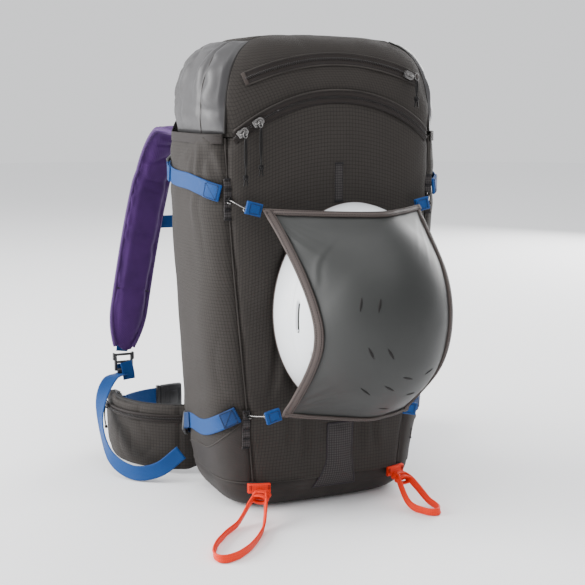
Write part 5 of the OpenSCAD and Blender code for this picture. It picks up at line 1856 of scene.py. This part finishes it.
def back():
    part, P = slab(210, ZIP_Z - 140, 12, 30, BACK_Y + 0.3, 128, shape=back_shape)
    obj = piece("back_pad_foam", part, MESH_CLOTH, "pack", ("back_pad",))
    piece("back_pad_piping", tube(rim_path(P, BACK_Y + 1.9), 1.8, 8, closed=True), DARK_BINDING)
    part, P = slab(156, 98, 24, 26, BACK_Y + 0.3, 24, 60, 50, lambda X,
                   Z: 1.6 * smooth((9 - np.abs(np.abs(X) - 39)) / 5) + 2.4 * smooth((8
                           - np.abs(X)) / 5) + 0.5)
    obj = piece("lumbar_pad_foam", part, MESH_CLOTH, "pack", ("lumbar_pad",))
    piece("lumbar_piping", tube(rim_path(P, BACK_Y + 2.2), 1.9, 8, closed=True), DARK_BINDING)
    low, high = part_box("frame_sheet")
    z0, h, y = low[2] / MM, (high[2] - low[2]) / MM, low[1] / MM
    part, _ = slab(210, h, 1.5, 24, y, z0, 40, 60, lambda X,
                   Z: 0.5 * smooth((2.2 - np.abs(np.abs(X) - 30)) / 2))
    piece("frame_sheet_board", part, SHEET_PLASTIC, "pack", ("frame_sheet",))
    low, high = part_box("frame_stays")
    z = np.linspace(low[2] / MM, high[2] / MM, 40)
    y = (low[1] + high[1]) / 2 / MM
    stays = [sweep(np.stack([0 * z + x, 0 * z + y, z], 1),
                   np.array([(-8, -1), (-6, -1.45), (6, -1.45), (8, -1), (8, 1), (6, 1.45), (-6, 1.45),
                             (-8, 1)]), (1, 0, 0)) for x in (-58, 58)]
    piece("frame_stay_bars", join(stays), STAY_METAL, "pack", ("frame_stays",))
    low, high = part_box("hydration_sleeve")
    part, P = slab((high[0] - low[0]) / MM, (high[2] - low[2]) / MM, 1.9, 16, low[1] / MM, low[2] / MM, 50,
                   60, lambda X, Z: 0.25 * noise(np.stack([X, 0 * X, Z], -1), 30, 91))
    piece("hydration_sleeve_cloth", part, TRIM, "pack", ("hydration_sleeve",))
    top = P[-1] + [0, 0.2, -0.5]
    piece("hydration_sleeve_hem", ribbon(top, (0, 0, 1), 7, 1.2), DARK_BINDING)


back()


def haul():
    t = np.linspace(0, math.pi, 70)
    path = np.stack([38 * np.cos(t), BACK_Y + 6 + 6 * np.sin(t), STRAP_ROOT_Z + 14 + 30 * np.sin(t)], 1)
    lean = (0, 1, 0.2)
    piece("haul_loop_webbing", sweep(path, band_section(13.6, 2.4, 0.3), lean), BLUE, "pack",
          ("haul_loop",))
    _, across, up = frames(path, lean)
    mid = slice(4, -4)
    for k, v in enumerate((-4.8, 4.8)):
        piece("haul_stitch_%d" % k, stitches(path[mid] + across[mid] * v + up[mid] * 1.5, 3.2, 2.1, 0.4),
              THREAD)
    for x in (-38, 38):
        box = rounded_box((17, 3.0, 5), 1, (x, BACK_Y + 4.6, STRAP_ROOT_Z + 12))
        piece("haul_tack_%d" % (1 if x > 0 else 0), box, THREAD)


haul()


# ---- the room ----------------------------------------------------------------------------------
def area_light(name, at, size, power, aim=(0, 0, 0.28), tint=(1, 1, 1)):
    data = bpy.data.lights.new(name, "AREA")
    data.shape, data.size, data.size_y = "RECTANGLE", size[0], size[1]
    data.energy, data.color = power, tint
    obj = bpy.data.objects.new(name, data)
    obj.location = at
    obj.rotation_mode = "QUATERNION"
    obj.rotation_quaternion = (Vector(aim) - Vector(at)).to_track_quat("-Z", "Y")
    bpy.context.scene.collection.objects.link(obj)


def room():
    floor = Nodes("floor")
    floor.finish((0.93, 0.93, 0.935, 1), 0.85)
    ring = [(math.cos(t) * 9, math.sin(t) * 9, 0) for t in full_turn(96)]
    mesh = bpy.data.meshes.new("floor")
    mesh.from_pydata(ring, [], [tuple(range(96))])
    link(mesh, "floor", floor.material)
    world = bpy.data.worlds.new("world")
    bpy.context.scene.world = world
    world.use_nodes = True
    tree = world.node_tree
    tree.nodes["Background"].inputs[0].default_value = (0.97, 0.98, 1.0, 1)
    tree.nodes["Background"].inputs[1].default_value = 1.1
    area_light("left_light", (-3.0, 1.1, 1.3), (2.4, 2.4), 250)
    area_light("right_back_light", (2.5, 1.7, 1.3), (2.0, 2.0), 105)
    area_light("top_light", (-0.3, -0.9, 3.0), (2.6, 2.6), 60)


room()
